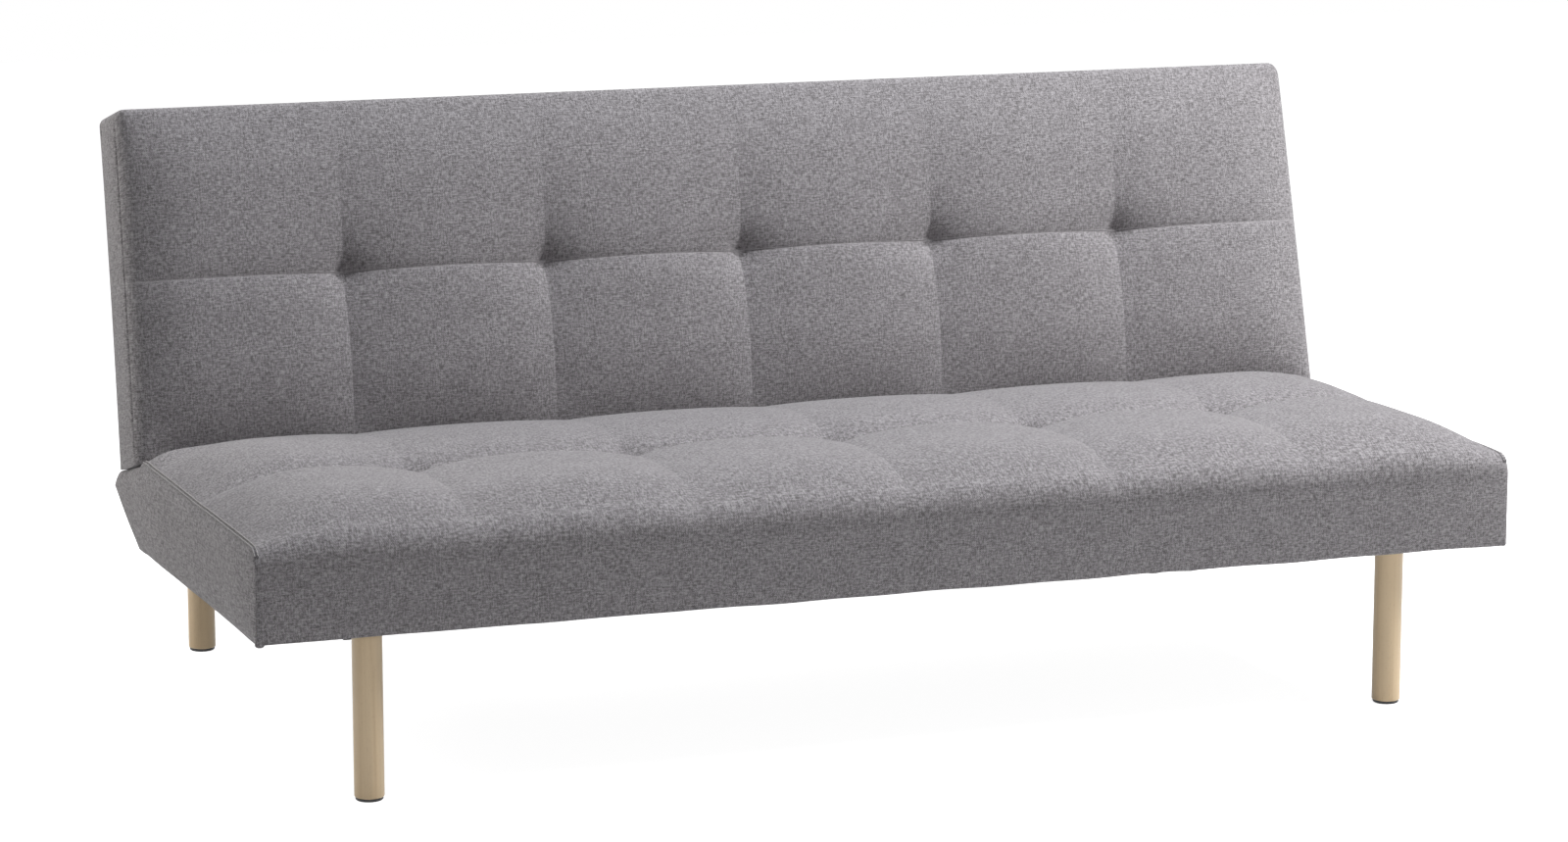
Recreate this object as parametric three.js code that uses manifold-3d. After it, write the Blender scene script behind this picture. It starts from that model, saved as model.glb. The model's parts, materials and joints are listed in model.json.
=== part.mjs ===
// A click clack sofa bed in millimetres, +Z up, +X along its width, facing -Y.
// The origin lies on the floor, under the middle of the whole sofa.
// The seat stands on four legs. The backrest folds back about two ratchet hinges to lie level with it.

import * as THREE from 'three';
import { mergeVertices } from 'three/addons/utils/BufferGeometryUtils.js';
import Module from 'manifold-3d';

const wasm = await Module();
wasm.setup();

// Clearance between pieces that touch, and the overrun of every cut
const fit = 0.3;
const overrun = 60;

// Seat
const seatWidth = 1810;
const seatDepth = 617;
const seatBottomHeight = 230;
const seatEdgeHeight = 122;
const seatCrown = 52;
const seatFrontSwell = 4;
const seatRollRadius = 25;
const seatSideShoulder = 180;
const seatFrontShoulder = 150;
const seatCreaseShoulder = 165;
const seatTuftDepth = 306;
const undercutStart = 638;
const noseTipAngle = THREE.MathUtils.degToRad(50);

// Backrest
const backOverhang = 3;
const backLength = 491;
const backThickness = 112;
const backLean = THREE.MathUtils.degToRad(12.8);
const backCrown = 28;
const backSideShoulder = 100;
const backEndShoulder = 110;
const backTuftHeight = 252;
const backEdgeRadius = 9;
const backCornerRadius = 20;
const backFootLift = 2;

// Quilting that both covers share: the first and last tufts lie in from the backrest's sides
const tuftMargin = 308;
const tuftCount = 5;
const tuftDip = 23;
const tuftRadius = 42;
const seamDip = 7;
const seamBreadth = 34;

// Fold: how far the pivot lies behind the foot of the backrest, and the room round the nose
const pivotSetback = 95;
const noseClearance = 4;

// Upholstery thicknesses
const sidePad = 12;
const topPad = 8;
const nosePad = 14;
const dustThickness = 1;
const panelThickness = 1.7;

// Seat timber
const seatRailThickness = 22;
const endBoardThickness = 18;
const bearerWidth = 54;
const bearerHeight = 42;
const bearerInset = 160;
const seatFrameDepth = 74;
const crossRailPlace = 596;
const crossRailDepth = 25;
const rearRailPlace = 660;
const bearerTailLength = 56;

// Seat springs
const springWire = 3.6;
const springCount = 6;
const springMargin = 192.5;
const springReach = 20;
const springLoops = 7;
const tieRows = 2;

// Backrest timber and webbing
const backFrameThickness = 40;
const backRailHeight = 40;
const backLapThickness = 12;
const backLapHeight = 60;
const webThickness = 1.5;
const webWidth = 50;
const webUprights = 8;
const webCrossings = 2;

// Ratchet hinges
const cheekThickness = 3;
const ratchetThickness = 6;
const hingePlay = 0.5;
const cheekRadius = 30;
const ratchetRadius = 27;
const pinRadius = 8;
const pinHeadRadius = 12;
const pinHeadThickness = 2.3;
const pinPlay = 0.3;
const strapWidth = 34;
const strapLength = 250;
const outerCheekLength = 128;
const slotWidth = 22;
const slotClearance = 5;
const seatArmFront = 530;
const seatArmRear = 655;
const seatArmHeight = 36;
const loungeAngle = THREE.MathUtils.degToRad(35);

// Pawl, its pin and its spring
const pawlPinRadius = 4;
const pawlPinHeadRadius = 6.5;
const pawlEarRadius = 12;
const pawlEyeRadius = 8;
const pawlPinBack = 34;
const pawlPinHeight = 38;
const pawlLift = 0.5;
const pawlToothWidth = 6;
const pawlToothDepth = 5.5;
const pawlBarHeight = 11;
const pawlTravel = THREE.MathUtils.degToRad(8);
const notchPlay = 0.8;
const leafThickness = 1.2;
const leafWidth = 5;

// Bolts
const boltRadius = 4;
const boltHeadRadius = 7.5;
const boltHeadThickness = 4.5;
const boltPlay = 0.3;
const armBoltPitch = 78;

// Base
const legRadius = 20;
const legChamfer = 2;
const frontLegPlace = 51;
const rearLegPlace = 964;
const legSocketDepth = 42;
const glideThickness = 4;
const glideInset = 1.5;
const legPlateSize = 62;
const legPlateThickness = 2.7;
const legPlateCorner = 8;
const socketRadius = 7.5;
const socketHeight = 10;
const railWidth = 40;
const railHeight = 25;
const railWall = 2;
const railStart = 92;
const railOverhang = 25;
const crossTubeWidth = 25;
const bumperRadius = 12;
const bumperSetback = 39;

// Heights and places that follow from the sizes above
const backWidth = seatWidth + 2 * backOverhang;
const tuftPitch = (backWidth - 2 * tuftMargin) / (tuftCount - 1);
const springPitch = (seatWidth - 2 * springMargin) / (springCount - 1);
const frameTopHeight = seatBottomHeight + seatFrameDepth;
const foldAngle = Math.PI / 2 - backLean;
const seatTop = seatBottomHeight + seatEdgeHeight;
const footHeight = seatTop + backFootLift;
const pivotY = seatDepth + pivotSetback;
const pivotZ = footHeight - pivotSetback / Math.tan(foldAngle / 2);
const backFront = pivotZ - footHeight;
const backRear = backFront + backThickness;
const backTop = pivotSetback + backLength;
const noseRadius = pivotSetback - noseClearance;
const noseStartY = pivotY + noseRadius * Math.sin(backLean);
const noseStartZ = pivotZ + noseRadius * Math.cos(backLean);
const bevelStart = noseStartY - (seatTop - noseStartZ) / Math.tan(backLean);
const tipY = pivotY + noseRadius * Math.sin(noseTipAngle);
const tipZ = pivotZ + noseRadius * Math.cos(noseTipAngle);
const undercutSlope = (tipZ - seatBottomHeight) / (tipY - undercutStart);
const bearerX = seatWidth / 2 - bearerInset;
const hingeFaceX = bearerX + bearerWidth / 2;
const innerCheekX = hingeFaceX + fit;
const ratchetX = innerCheekX + cheekThickness + hingePlay;
const outerCheekX = ratchetX + ratchetThickness + hingePlay;
const outerFaceX = outerCheekX + cheekThickness;
const backFrameRear = backRear - panelThickness - fit;
const backFrameFront = backFrameRear - backFrameThickness;
const strapRear = backFrameRear - (backFrameThickness - strapWidth) / 2;
const strapFront = strapRear - strapWidth;
const strapFootY = pivotY + pivotSetback * Math.sin(backLean) + strapFront * Math.cos(backLean);
const slotFront = strapFootY - slotClearance;
const frameFloorLift = dustThickness + 2 * fit;
const seatInnerHalf = seatWidth / 2 - sidePad;
const endBoardInner = seatInnerHalf - fit - endBoardThickness;
const springLevel = frameTopHeight + fit + springWire / 2;
const foamFloor = springLevel + springWire / 2 + fit;
const bearerTop = seatBottomHeight + frameFloorLift + bearerHeight;
const backInnerHalf = backWidth / 2 - sidePad;
const backLapFront = backFrameFront - fit - backLapThickness;
const webLevel = backLapFront - fit;
const backFoamRear = webLevel - 2 * webThickness - fit;
const backFrameFoot = pivotSetback + sidePad + fit;
const backFrameHead = backTop - sidePad - fit;
const railTop = seatBottomHeight;
const railBottom = railTop - railHeight;
const rearEnd = rearLegPlace + railOverhang;
const middleY = (rearEnd - seatFrontSwell) / 2;

// Materials
function finish(color, roughness, metalness = 0) {
  return new THREE.MeshStandardMaterial({ color, roughness, metalness });
}
const fabric = finish(0x8b8889, 0.95);
const foam = finish(0xe6dcc0, 0.9);
const lining = finish(0x2b2b2d, 0.95);
const pine = finish(0xcfae7c, 0.75);
const beech = finish(0xd9b98c, 0.55);
const steel = finish(0x9a9c9f, 0.4, 0.9);
const blackSteel = finish(0x26272a, 0.5, 0.4);
const rubber = finish(0x1c1c1d, 0.8);

// A closed geometry as a solid that can be joined and cut
function toSolid(geometry) {
  const bare = geometry.clone();
  bare.deleteAttribute('normal');
  bare.deleteAttribute('uv');
  const merged = mergeVertices(bare);
  const corners = Array.from(merged.index.array);
  const faces = [];
  for (let i = 0; i < corners.length; i += 3) {
    const [a, b, c] = corners.slice(i, i + 3);
    if (a !== b && b !== c && c !== a) faces.push(a, b, c);
  }
  const vertProperties = Float32Array.from(merged.attributes.position.array);
  return new wasm.Manifold(new wasm.Mesh({ numProp: 3, vertProperties, triVerts: Uint32Array.from(faces) }));
}

// A solid as a geometry that a mesh can show
function toGeometry(solid) {
  const mesh = solid.getMesh();
  const geometry = new THREE.BufferGeometry();
  geometry.setAttribute('position', new THREE.BufferAttribute(Float32Array.from(mesh.vertProperties), 3));
  geometry.setIndex(Array.from(mesh.triVerts));
  geometry.computeVertexNormals();
  return geometry;
}

// The first geometry without the others
function cut(body, ...tools) {
  return toGeometry(tools.reduce((left, tool) => left.subtract(toSolid(tool)), toSolid(body)));
}

// Several geometries as one body
function join(...bodies) {
  return toGeometry(bodies.map(toSolid).reduce((all, body) => all.add(body)));
}

// What two geometries share
function common(first, second) {
  return toGeometry(toSolid(first).intersect(toSolid(second)));
}

// A box between two corners
function box(fromX, toX, fromY, toY, fromZ, toZ) {
  const geometry = new THREE.BoxGeometry(toX - fromX, toY - fromY, toZ - fromZ);
  return geometry.translate((fromX + toX) / 2, (fromY + toY) / 2, (fromZ + toZ) / 2);
}

// A shape drawn in Y and Z, drawn out along X
function alongX(shape, fromX, toX, curveSegments = 8) {
  const depth = toX - fromX;
  const geometry = new THREE.ExtrudeGeometry(shape, { depth, bevelEnabled: false, curveSegments });
  const turn = new THREE.Matrix4().makeBasis(
    new THREE.Vector3(0, 1, 0),
    new THREE.Vector3(0, 0, 1),
    new THREE.Vector3(1, 0, 0),
  );
  return geometry.applyMatrix4(turn).translate(fromX, 0, 0);
}

// A shape drawn in X and Y, drawn out along Z
function alongZ(shape, fromZ, toZ, curveSegments = 6) {
  const depth = toZ - fromZ;
  const geometry = new THREE.ExtrudeGeometry(shape, { depth, bevelEnabled: false, curveSegments });
  return geometry.translate(0, 0, fromZ);
}

// A closed outline through corner points
function outline(points) {
  return new THREE.Shape(points.map(([u, v]) => new THREE.Vector2(u, v)));
}

// A round bar along X
function barX(radius, fromX, toX, y, z, sides = 16) {
  const geometry = new THREE.CylinderGeometry(radius, radius, toX - fromX, sides);
  return geometry.rotateZ(-Math.PI / 2).translate((fromX + toX) / 2, y, z);
}

// A round bar along Z
function barZ(radius, fromZ, toZ, x, y, sides = 16) {
  const geometry = new THREE.CylinderGeometry(radius, radius, toZ - fromZ, sides);
  return geometry.rotateX(Math.PI / 2).translate(x, y, (fromZ + toZ) / 2);
}

// A profile of [radius, height] points turned about the Z axis
function turned(profile, sides) {
  const points = profile.map(([radius, height]) => new THREE.Vector2(radius, height));
  return toGeometry(toSolid(new THREE.LatheGeometry(points, sides).rotateX(Math.PI / 2)));
}

// The same profile turned about the X axis
function turnedX(profile, sides) {
  return turned(profile, sides).rotateY(Math.PI / 2);
}

// Height of the seat's underside at a depth, where it rises behind the frame
function undersideAt(y) {
  return seatBottomHeight + Math.max(0, y - undercutStart) * undercutSlope;
}

// The lower face of the seat timber at a depth
function frameFloorAt(y) {
  return undersideAt(y) + frameFloorLift;
}

// Points of the nose's arc about the pivot, from the slope under the backrest down to the tip
function noseArc(radius, steps) {
  const points = [];
  for (let i = 0; i <= steps; i += 1) {
    const angle = backLean + ((noseTipAngle - backLean) * i) / steps;
    points.push([pivotY + radius * Math.sin(angle), pivotZ + radius * Math.cos(angle)]);
  }
  return points;
}

// Columns across a quilted cover: closer at the tufts and at the sides
const innerColumnShares = [0, 0.11, 0.28, 0.5, 0.72, 0.89];
const outerColumnShares = [0, 0.02, 0.07, 0.17, 0.32, 0.52, 0.74, 0.89];
function quiltColumns(width) {
  const edge = width / 2;
  const lastTuft = (tuftPitch * (tuftCount - 1)) / 2;
  const outer = outerColumnShares.map((share) => lastTuft + (edge - lastTuft) * (1 - share));
  const inner = [];
  for (let tuft = 0; tuft < tuftCount - 1; tuft += 1) {
    inner.push(...innerColumnShares.map((share) => tuftPitch * (tuft + share) - lastTuft));
  }
  return [...outer.map((x) => -x), ...inner, lastTuft, ...outer.reverse()];
}

// Share of the full crown at a distance from an edge, over a shoulder
function shoulder(distance, breadth, power) {
  return 1 - (1 - Math.min(Math.max(distance / breadth, 0), 1)) ** power;
}

// How far the quilting pulls the surface in at a place: seams both ways, deepest at the tufts
function quiltDip(x, across) {
  const lastTuft = (tuftPitch * (tuftCount - 1)) / 2;
  const nearest = Math.min(Math.max(Math.round(x / tuftPitch) * tuftPitch, -lastTuft), lastTuft);
  const bell = (distance, breadth) => Math.exp(-((distance / breadth) ** 2));
  const seam = seamDip * Math.max(bell(x - nearest, seamBreadth), bell(across, seamBreadth));
  return seam + (tuftDip - seamDip) * bell(Math.hypot(x - nearest, across), tuftRadius);
}

// Twice the area of a triangle or an outline, positive where it runs anticlockwise
function signedArea(points) {
  return points.reduce((sum, p, i) => {
    const q = points[(i + 1) % points.length];
    return sum + p.x * q.y - q.x * p.y;
  }, 0);
}

// A closed surface through rings of [x, y, z] points, one ring for each column, with flat ends
function loft(rings) {
  const count = rings[0].length;
  const faces = [];
  for (let i = 0; i < rings.length - 1; i += 1) {
    for (let j = 0; j < count; j += 1) {
      const a = i * count + j;
      const b = i * count + ((j + 1) % count);
      faces.push(a, a + count, b, b, a + count, b + count);
    }
  }
  const last = (rings.length - 1) * count;
  const end = rings[0].map(([, y, z]) => new THREE.Vector2(y, z));
  const sense = Math.sign(signedArea(end));
  for (const face of THREE.ShapeUtils.triangulateShape(end, [])) {
    const same = Math.sign(signedArea(face.map((i) => end[i]))) === sense;
    const [a, b, c] = same ? face : [...face].reverse();
    faces.push(a, b, c, last + a, last + c, last + b);
  }
  if (sense > 0) faces.reverse();
  const geometry = new THREE.BufferGeometry();
  geometry.setAttribute('position', new THREE.Float32BufferAttribute(rings.flat(2), 3));
  geometry.setIndex(faces);
  return geometry;
}

// Rows up the seat's front, over its top and round its nose: place, outward direction and swell
const seatFrontRowShares = [0, 0.13, 0.32, 0.58, 0.8, 0.91];
const seatRearRowShares = [0, 0.09, 0.22, 0.48, 0.72, 0.9];
function seatRows() {
  const rows = [];
  const add = (y, z, outY, outZ, swell) => rows.push({ y, z, outY, outZ, swell });
  const rollTop = seatCrown * shoulder(seatRollRadius, seatFrontShoulder, 3);
  add(0, seatBottomHeight, -1, 0, 0);
  add(0, seatBottomHeight + seatEdgeHeight / 2, -1, 0, seatFrontSwell);
  add(0, seatTop - seatRollRadius, -1, 0, seatFrontSwell);
  const slant = Math.SQRT1_2;
  const rollInset = seatRollRadius * (1 - slant);
  add(rollInset, seatTop - rollInset, -slant, slant, (seatFrontSwell + rollTop) * slant);
  const front = seatFrontRowShares.map((share) => seatRollRadius + (seatTuftDepth - seatRollRadius) * share);
  const rear = seatRearRowShares.map((share) => seatTuftDepth + (bevelStart - seatTuftDepth) * share);
  for (const y of [...front, ...rear]) {
    const fromFront = shoulder(y, seatFrontShoulder, 3);
    add(y, seatTop, 0, 1, seatCrown * fromFront * shoulder(bevelStart - y, seatCreaseShoulder, 2));
  }
  add(bevelStart, seatTop, 0, 1, 0);
  for (const [y, z] of noseArc(noseRadius, 3)) add(y, z, 0, 1, 0);
  add(undercutStart, seatBottomHeight, 0, -1, 0);
  return rows;
}

// The seat's padded cover as it bulges, before it is hollowed
function seatSkin() {
  const rows = seatRows();
  const place = (x) => (row) => {
    const side = shoulder(seatWidth / 2 - Math.abs(x), seatSideShoulder, 3);
    const dip = row.outZ === 1 ? quiltDip(x, row.y - seatTuftDepth) : 0;
    const reach = side * Math.max(row.swell - dip * (row.swell / seatCrown), 0);
    return [x, row.y + row.outY * reach, row.z + row.outZ * reach];
  };
  const rings = quiltColumns(seatWidth).map((x) => rows.map(place(x)));
  return loft(rings);
}

// The slot where a hinge arm leaves the nose of the seat
function noseSlot() {
  return box(hingeFaceX, hingeFaceX + slotWidth, slotFront, tipY + overrun,
    seatBottomHeight - overrun, seatTop + overrun);
}

// The same cut on both sides
function bothSides(geometry) {
  const mirrored = toGeometry(toSolid(geometry).scale([-1, 1, 1]));
  return [geometry, mirrored];
}

// The hollow inside the seat's cover, open below, smaller all round by an inset
function seatHollow(inset = 0) {
  const top = seatTop - topPad - inset;
  const arc = noseArc(noseRadius - nosePad - inset, 4);
  const [slopeY, slopeZ] = arc[0];
  const [endY] = arc[arc.length - 1];
  const points = [
    [sidePad + inset, seatBottomHeight - overrun],
    [sidePad + inset, top],
    [slopeY - (top - slopeZ) / Math.tan(backLean), top],
    ...arc,
    [endY, seatBottomHeight - overrun],
  ];
  return alongX(outline(points), inset - seatInnerHalf, seatInnerHalf - inset);
}

// What fills a box inside the cover, above the rising underside
function seatFilling(fromX, toX, fromY, toY, fromZ, toZ) {
  const end = tipY + overrun;
  const space = outline([
    [-overrun, frameFloorAt(0)],
    [undercutStart, frameFloorAt(0)],
    [end, frameFloorAt(end)],
    [end, seatTop + overrun],
    [-overrun, seatTop + overrun],
  ]);
  const inside = common(seatHollow(fit), alongX(space, -seatWidth, seatWidth));
  return common(inside, box(fromX, toX, fromY, toY, fromZ, toZ));
}

function seatCover() {
  return cut(seatSkin(), seatHollow(), ...bothSides(noseSlot()));
}

function seatFoam() {
  const block = seatFilling(-seatWidth, seatWidth, -overrun, tipY, foamFloor, seatTop);
  return cut(block, ...bothSides(noseSlot()));
}

// The thin lining under the seat, with openings for the hinges, the leg plates and the bolts
function seatDustCover() {
  const end = tipY + overrun;
  const line = (lift) => [0, undercutStart, end].map((y) => [y, undersideAt(y) + lift]);
  const sheet = outline([...line(fit), ...line(fit + dustThickness).reverse()]);
  const body = common(seatHollow(fit), alongX(sheet, -seatWidth, seatWidth));
  const hingeWindow = box(
    hingeFaceX - 2 * pinHeadThickness, hingeFaceX + slotWidth,
    undercutStart - seatArmHeight, end,
    seatBottomHeight - overrun, seatTop,
  );
  const plateHole = barZ(socketRadius + fit, seatBottomHeight - overrun, seatTop, bearerX, frontLegPlace);
  return cut(body, ...bothSides(hingeWindow), ...bothSides(plateHole));
}

function seatFrontRail() {
  const start = sidePad + fit;
  return box(fit - endBoardInner, endBoardInner - fit, start, start + seatRailThickness,
    seatBottomHeight + frameFloorLift, frameTopHeight);
}

function seatCrossRail() {
  return box(fit - endBoardInner, endBoardInner - fit, crossRailPlace, crossRailPlace + crossRailDepth,
    bearerTop + fit, frameTopHeight);
}

// The rail in the nose, notched where the hinge arms pass
function seatRearRail() {
  const half = endBoardInner - fit;
  const rail = seatFilling(-half, half, rearRailPlace, tipY, bearerTop + fit, frameTopHeight);
  return cut(rail, ...bothSides(noseSlot()));
}

// A lengthways timber under the rails, tapered at its rear end
function bearerOutline(end) {
  const start = sidePad + seatRailThickness + 2 * fit;
  const floor = seatBottomHeight + frameFloorLift;
  const points = [[start, floor]];
  if (end > undercutStart) points.push([undercutStart, floor]);
  points.push([end, frameFloorAt(end)], [end, bearerTop], [start, bearerTop]);
  return outline(points);
}

// An outer bearer, drilled for the hinge bolts and for the leg plate's socket
function seatSideBearer() {
  const end = rearRailPlace + bearerTailLength;
  const body = alongX(bearerOutline(end), hingeFaceX - bearerWidth, hingeFaceX);
  const bolts = seatBoltPlaces().map(([y, z]) =>
    barX(boltRadius + boltPlay, hingeFaceX - bearerWidth - overrun, hingeFaceX + overrun, y, z, 8));
  const floor = seatBottomHeight + frameFloorLift;
  const socket = barZ(socketRadius + fit, floor - overrun, seatBottomHeight + socketHeight + fit,
    bearerX, frontLegPlace);
  return cut(body, ...bolts, socket);
}

function seatCentreBearer() {
  return alongX(bearerOutline(crossRailPlace + crossRailDepth), -bearerWidth / 2, bearerWidth / 2);
}

// An end board has the seat's side profile, inside the cover
function seatEndBoard() {
  const top = springLevel + springWire / 2;
  return seatFilling(endBoardInner, seatInnerHalf, 0, tipY, frameFloorAt(0) - fit, top);
}

// A strip of even width along a path of [u, v] points, with mitred corners
function strip(path, width) {
  const points = path.map(([u, v]) => new THREE.Vector2(u, v));
  const heading = (i) => points[i + 1].clone().sub(points[i]).normalize();
  const side = (sign) => points.map((point, i) => {
    const before = heading(Math.max(i - 1, 0));
    const after = heading(Math.min(i, points.length - 2));
    const along = before.clone().add(after).normalize();
    const reach = (sign * width) / 2 / along.dot(after);
    return new THREE.Vector2(point.x - along.y * reach, point.y + along.x * reach);
  });
  return new THREE.Shape([...side(-1), ...side(1).reverse()]);
}

// Zigzag springs on the rails, held together by tie wires
const springSideShares = [1, 1, -1, -1];
function seatSprings() {
  const start = sidePad + fit + seatRailThickness / 2;
  const end = crossRailPlace + crossRailDepth / 2;
  const bends = springSideShares.length * springLoops;
  const step = (end - start) / bends;
  const floor = springLevel - springWire / 2;
  const springs = [];
  for (let i = 0; i < springCount; i += 1) {
    const middle = springPitch * (i - (springCount - 1) / 2);
    const path = [];
    for (let k = 0; k <= bends; k += 1) {
      path.push([middle + springReach * springSideShares[k % springSideShares.length], start + step * k]);
    }
    springs.push(alongZ(strip(path, springWire), floor, floor + springWire));
  }
  const half = (springPitch * (springCount - 1)) / 2 + springReach + springWire;
  for (let row = 1; row <= tieRows; row += 1) {
    const y = start + step * (Math.round((bends * row) / (tieRows + 1)) + 1 / 2);
    springs.push(box(-half, half, y - springWire / 4, y + springWire / 4, springLevel - springWire / 4,
      springLevel + springWire / 4));
  }
  return join(...springs);
}

// Backrest, drawn upright with the hinge's axis at the origin

// How far the rounded upper corners fall away near a side
function cornerDrop(x) {
  const inside = Math.min(backWidth / 2 - Math.abs(x), backCornerRadius);
  return backCornerRadius - Math.sqrt(backCornerRadius ** 2 - (backCornerRadius - inside) ** 2);
}

// Rows under, up the front of and over the backrest
const backRowShares = [0, 0.07, 0.2, 0.42, 0.68, 0.87, 1];
function backRows() {
  const rows = [];
  const add = (y, z, outY, outZ, swell) => rows.push({ y, z, outY, outZ, swell });
  const tuft = pivotSetback + backTuftHeight;
  const low = pivotSetback + backEdgeRadius;
  const high = backTop - backEdgeRadius;
  const inset = backEdgeRadius * (1 - Math.SQRT1_2);
  add(backRear, pivotSetback, 0, 0, 0);
  add(backFront + backEdgeRadius, pivotSetback, 0, 0, 0);
  add(backFront + inset, pivotSetback + inset, 0, 0, 0);
  const lower = backRowShares.map((share) => low + (tuft - low) * share);
  const upper = backRowShares.map((share) => high - (high - tuft) * share).reverse();
  for (const z of [...lower, ...upper.slice(1)]) {
    const rise = shoulder(z - pivotSetback, backEndShoulder, 2) * shoulder(backTop - z, backEndShoulder, 3);
    add(backFront, z, -1, 0, backCrown * rise);
  }
  add(backFront + inset, backTop - inset, 0, 0, 0);
  add(backFront + backEdgeRadius, backTop, 0, 0, 0);
  add(backRear, backTop, 0, 0, 0);
  return rows;
}

// The backrest's padded cover as it bulges, before it is hollowed
function backSkin() {
  const rows = backRows();
  const tuft = pivotSetback + backTuftHeight;
  const ring = (x) => rows.map((row) => {
    const side = shoulder(backWidth / 2 - Math.abs(x), backSideShoulder, 3);
    const dip = quiltDip(x, row.z - tuft) * (backCrown / tuftDip);
    const reach = side * Math.max(row.swell - dip * (row.swell / backCrown), 0);
    const drop = cornerDrop(x) * Math.max(0, (row.z - tuft) / (backTop - tuft));
    return [x, row.y + row.outY * reach, row.z - drop];
  });
  const rings = quiltColumns(backWidth).map(ring);
  return loft(rings);
}

function backCover() {
  const hollow = box(-backInnerHalf, backInnerHalf, backFront + topPad, backRear + overrun,
    pivotSetback + sidePad, backTop - sidePad);
  const slot = box(hingeFaceX, hingeFaceX + slotWidth, strapFront - slotClearance, backRear + overrun,
    pivotSetback - overrun, pivotSetback + sidePad + overrun);
  const skinSlot = common(slot, box(-backWidth, backWidth, strapFront - overrun, backRear + overrun,
    pivotSetback - overrun, pivotSetback + sidePad));
  return cut(backSkin(), hollow, ...bothSides(skinSlot));
}

// A block inside the backrest's cover, from its foot to its head
function backBlock(fromY, toY, fromZ = backFrameFoot, toZ = backFrameHead) {
  return box(fit - backInnerHalf, backInnerHalf - fit, fromY, toY, fromZ, toZ);
}

function backFoam() {
  return backBlock(backFront + topPad + fit, backFoamRear);
}

function backRearPanel() {
  return backBlock(backRear - panelThickness, backRear);
}

function backTopRail() {
  return backBlock(backLapFront, backFrameRear, backFrameHead - backRailHeight, backFrameHead);
}

function backBottomRail() {
  return backBlock(backLapFront, backLapFront + backLapThickness, backFrameFoot,
    backFrameFoot + backLapHeight);
}

// An upright between the foot and the top rail
function backUpright(fromX, toX) {
  const top = backFrameHead - backRailHeight - fit;
  return box(fromX, toX, backFrameFront, backFrameRear, backFrameFoot, top);
}

// The upright that a hinge is bolted to
function backSideStile() {
  const body = backUpright(hingeFaceX - bearerWidth, hingeFaceX);
  const bolts = strapBoltPlaces().map(([y, z]) =>
    barX(boltRadius + boltPlay, hingeFaceX - bearerWidth - overrun, hingeFaceX + overrun, y, z, 8));
  return cut(body, ...bolts);
}

function backEndBoard() {
  return backUpright(backInnerHalf - fit - endBoardThickness, backInnerHalf - fit);
}

// Elastic straps, stitched where they cross
function backWebbing() {
  const overlap = webThickness / 8;
  const straps = [];
  const span = (backInnerHalf - endBoardThickness - webWidth) * 2;
  for (let i = 0; i < webUprights; i += 1) {
    const x = span * (i / (webUprights - 1) - 1 / 2);
    straps.push(box(x - webWidth / 2, x + webWidth / 2, webLevel - webThickness, webLevel,
      backFrameFoot, backFrameHead));
  }
  for (let i = 1; i <= webCrossings; i += 1) {
    const z = backFrameFoot + ((backFrameHead - backFrameFoot) * i) / (webCrossings + 1);
    straps.push(box(fit - backInnerHalf, backInnerHalf - fit, webLevel - 2 * webThickness,
      webLevel - webThickness + overlap, z - webWidth / 2, z + webWidth / 2));
  }
  return join(...straps);
}

// Hinges, drawn on the right side

// Places of the bolts, in the seat and in the backrest
function seatBoltPlaces() {
  const z = bearerTop - bearerHeight / 2;
  const front = seatArmFront + seatArmHeight / 2;
  return [[front, z], [front + armBoltPitch, z]];
}

function strapBoltPlaces() {
  const y = (strapFront + strapRear) / 2;
  const last = strapLength - strapWidth / 2;
  return [[y, last - armBoltPitch], [y, last]];
}

// A bolt along X with its head and nut, over a length of clamped pieces
function hingeBolt(fromX, toX) {
  const nut = fromX - fit - boltHeadThickness;
  const head = toX + fit + boltHeadThickness;
  const profile = [
    [0, nut],
    [boltHeadRadius, nut],
    [boltHeadRadius, fromX - fit],
    [boltRadius, fromX - fit],
    [boltRadius, toX + fit],
    [boltHeadRadius, toX + fit],
    [boltHeadRadius, head],
    [0, head],
  ];
  return turnedX(profile, 6);
}

// Where the pawl's tooth lies once the pawl has dropped
function toothShift() {
  const drop = pawlPinHeight - ratchetRadius - pawlLift;
  return pawlPinBack * (1 - Math.cos(pawlTravel)) + drop * Math.sin(pawlTravel);
}

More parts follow.
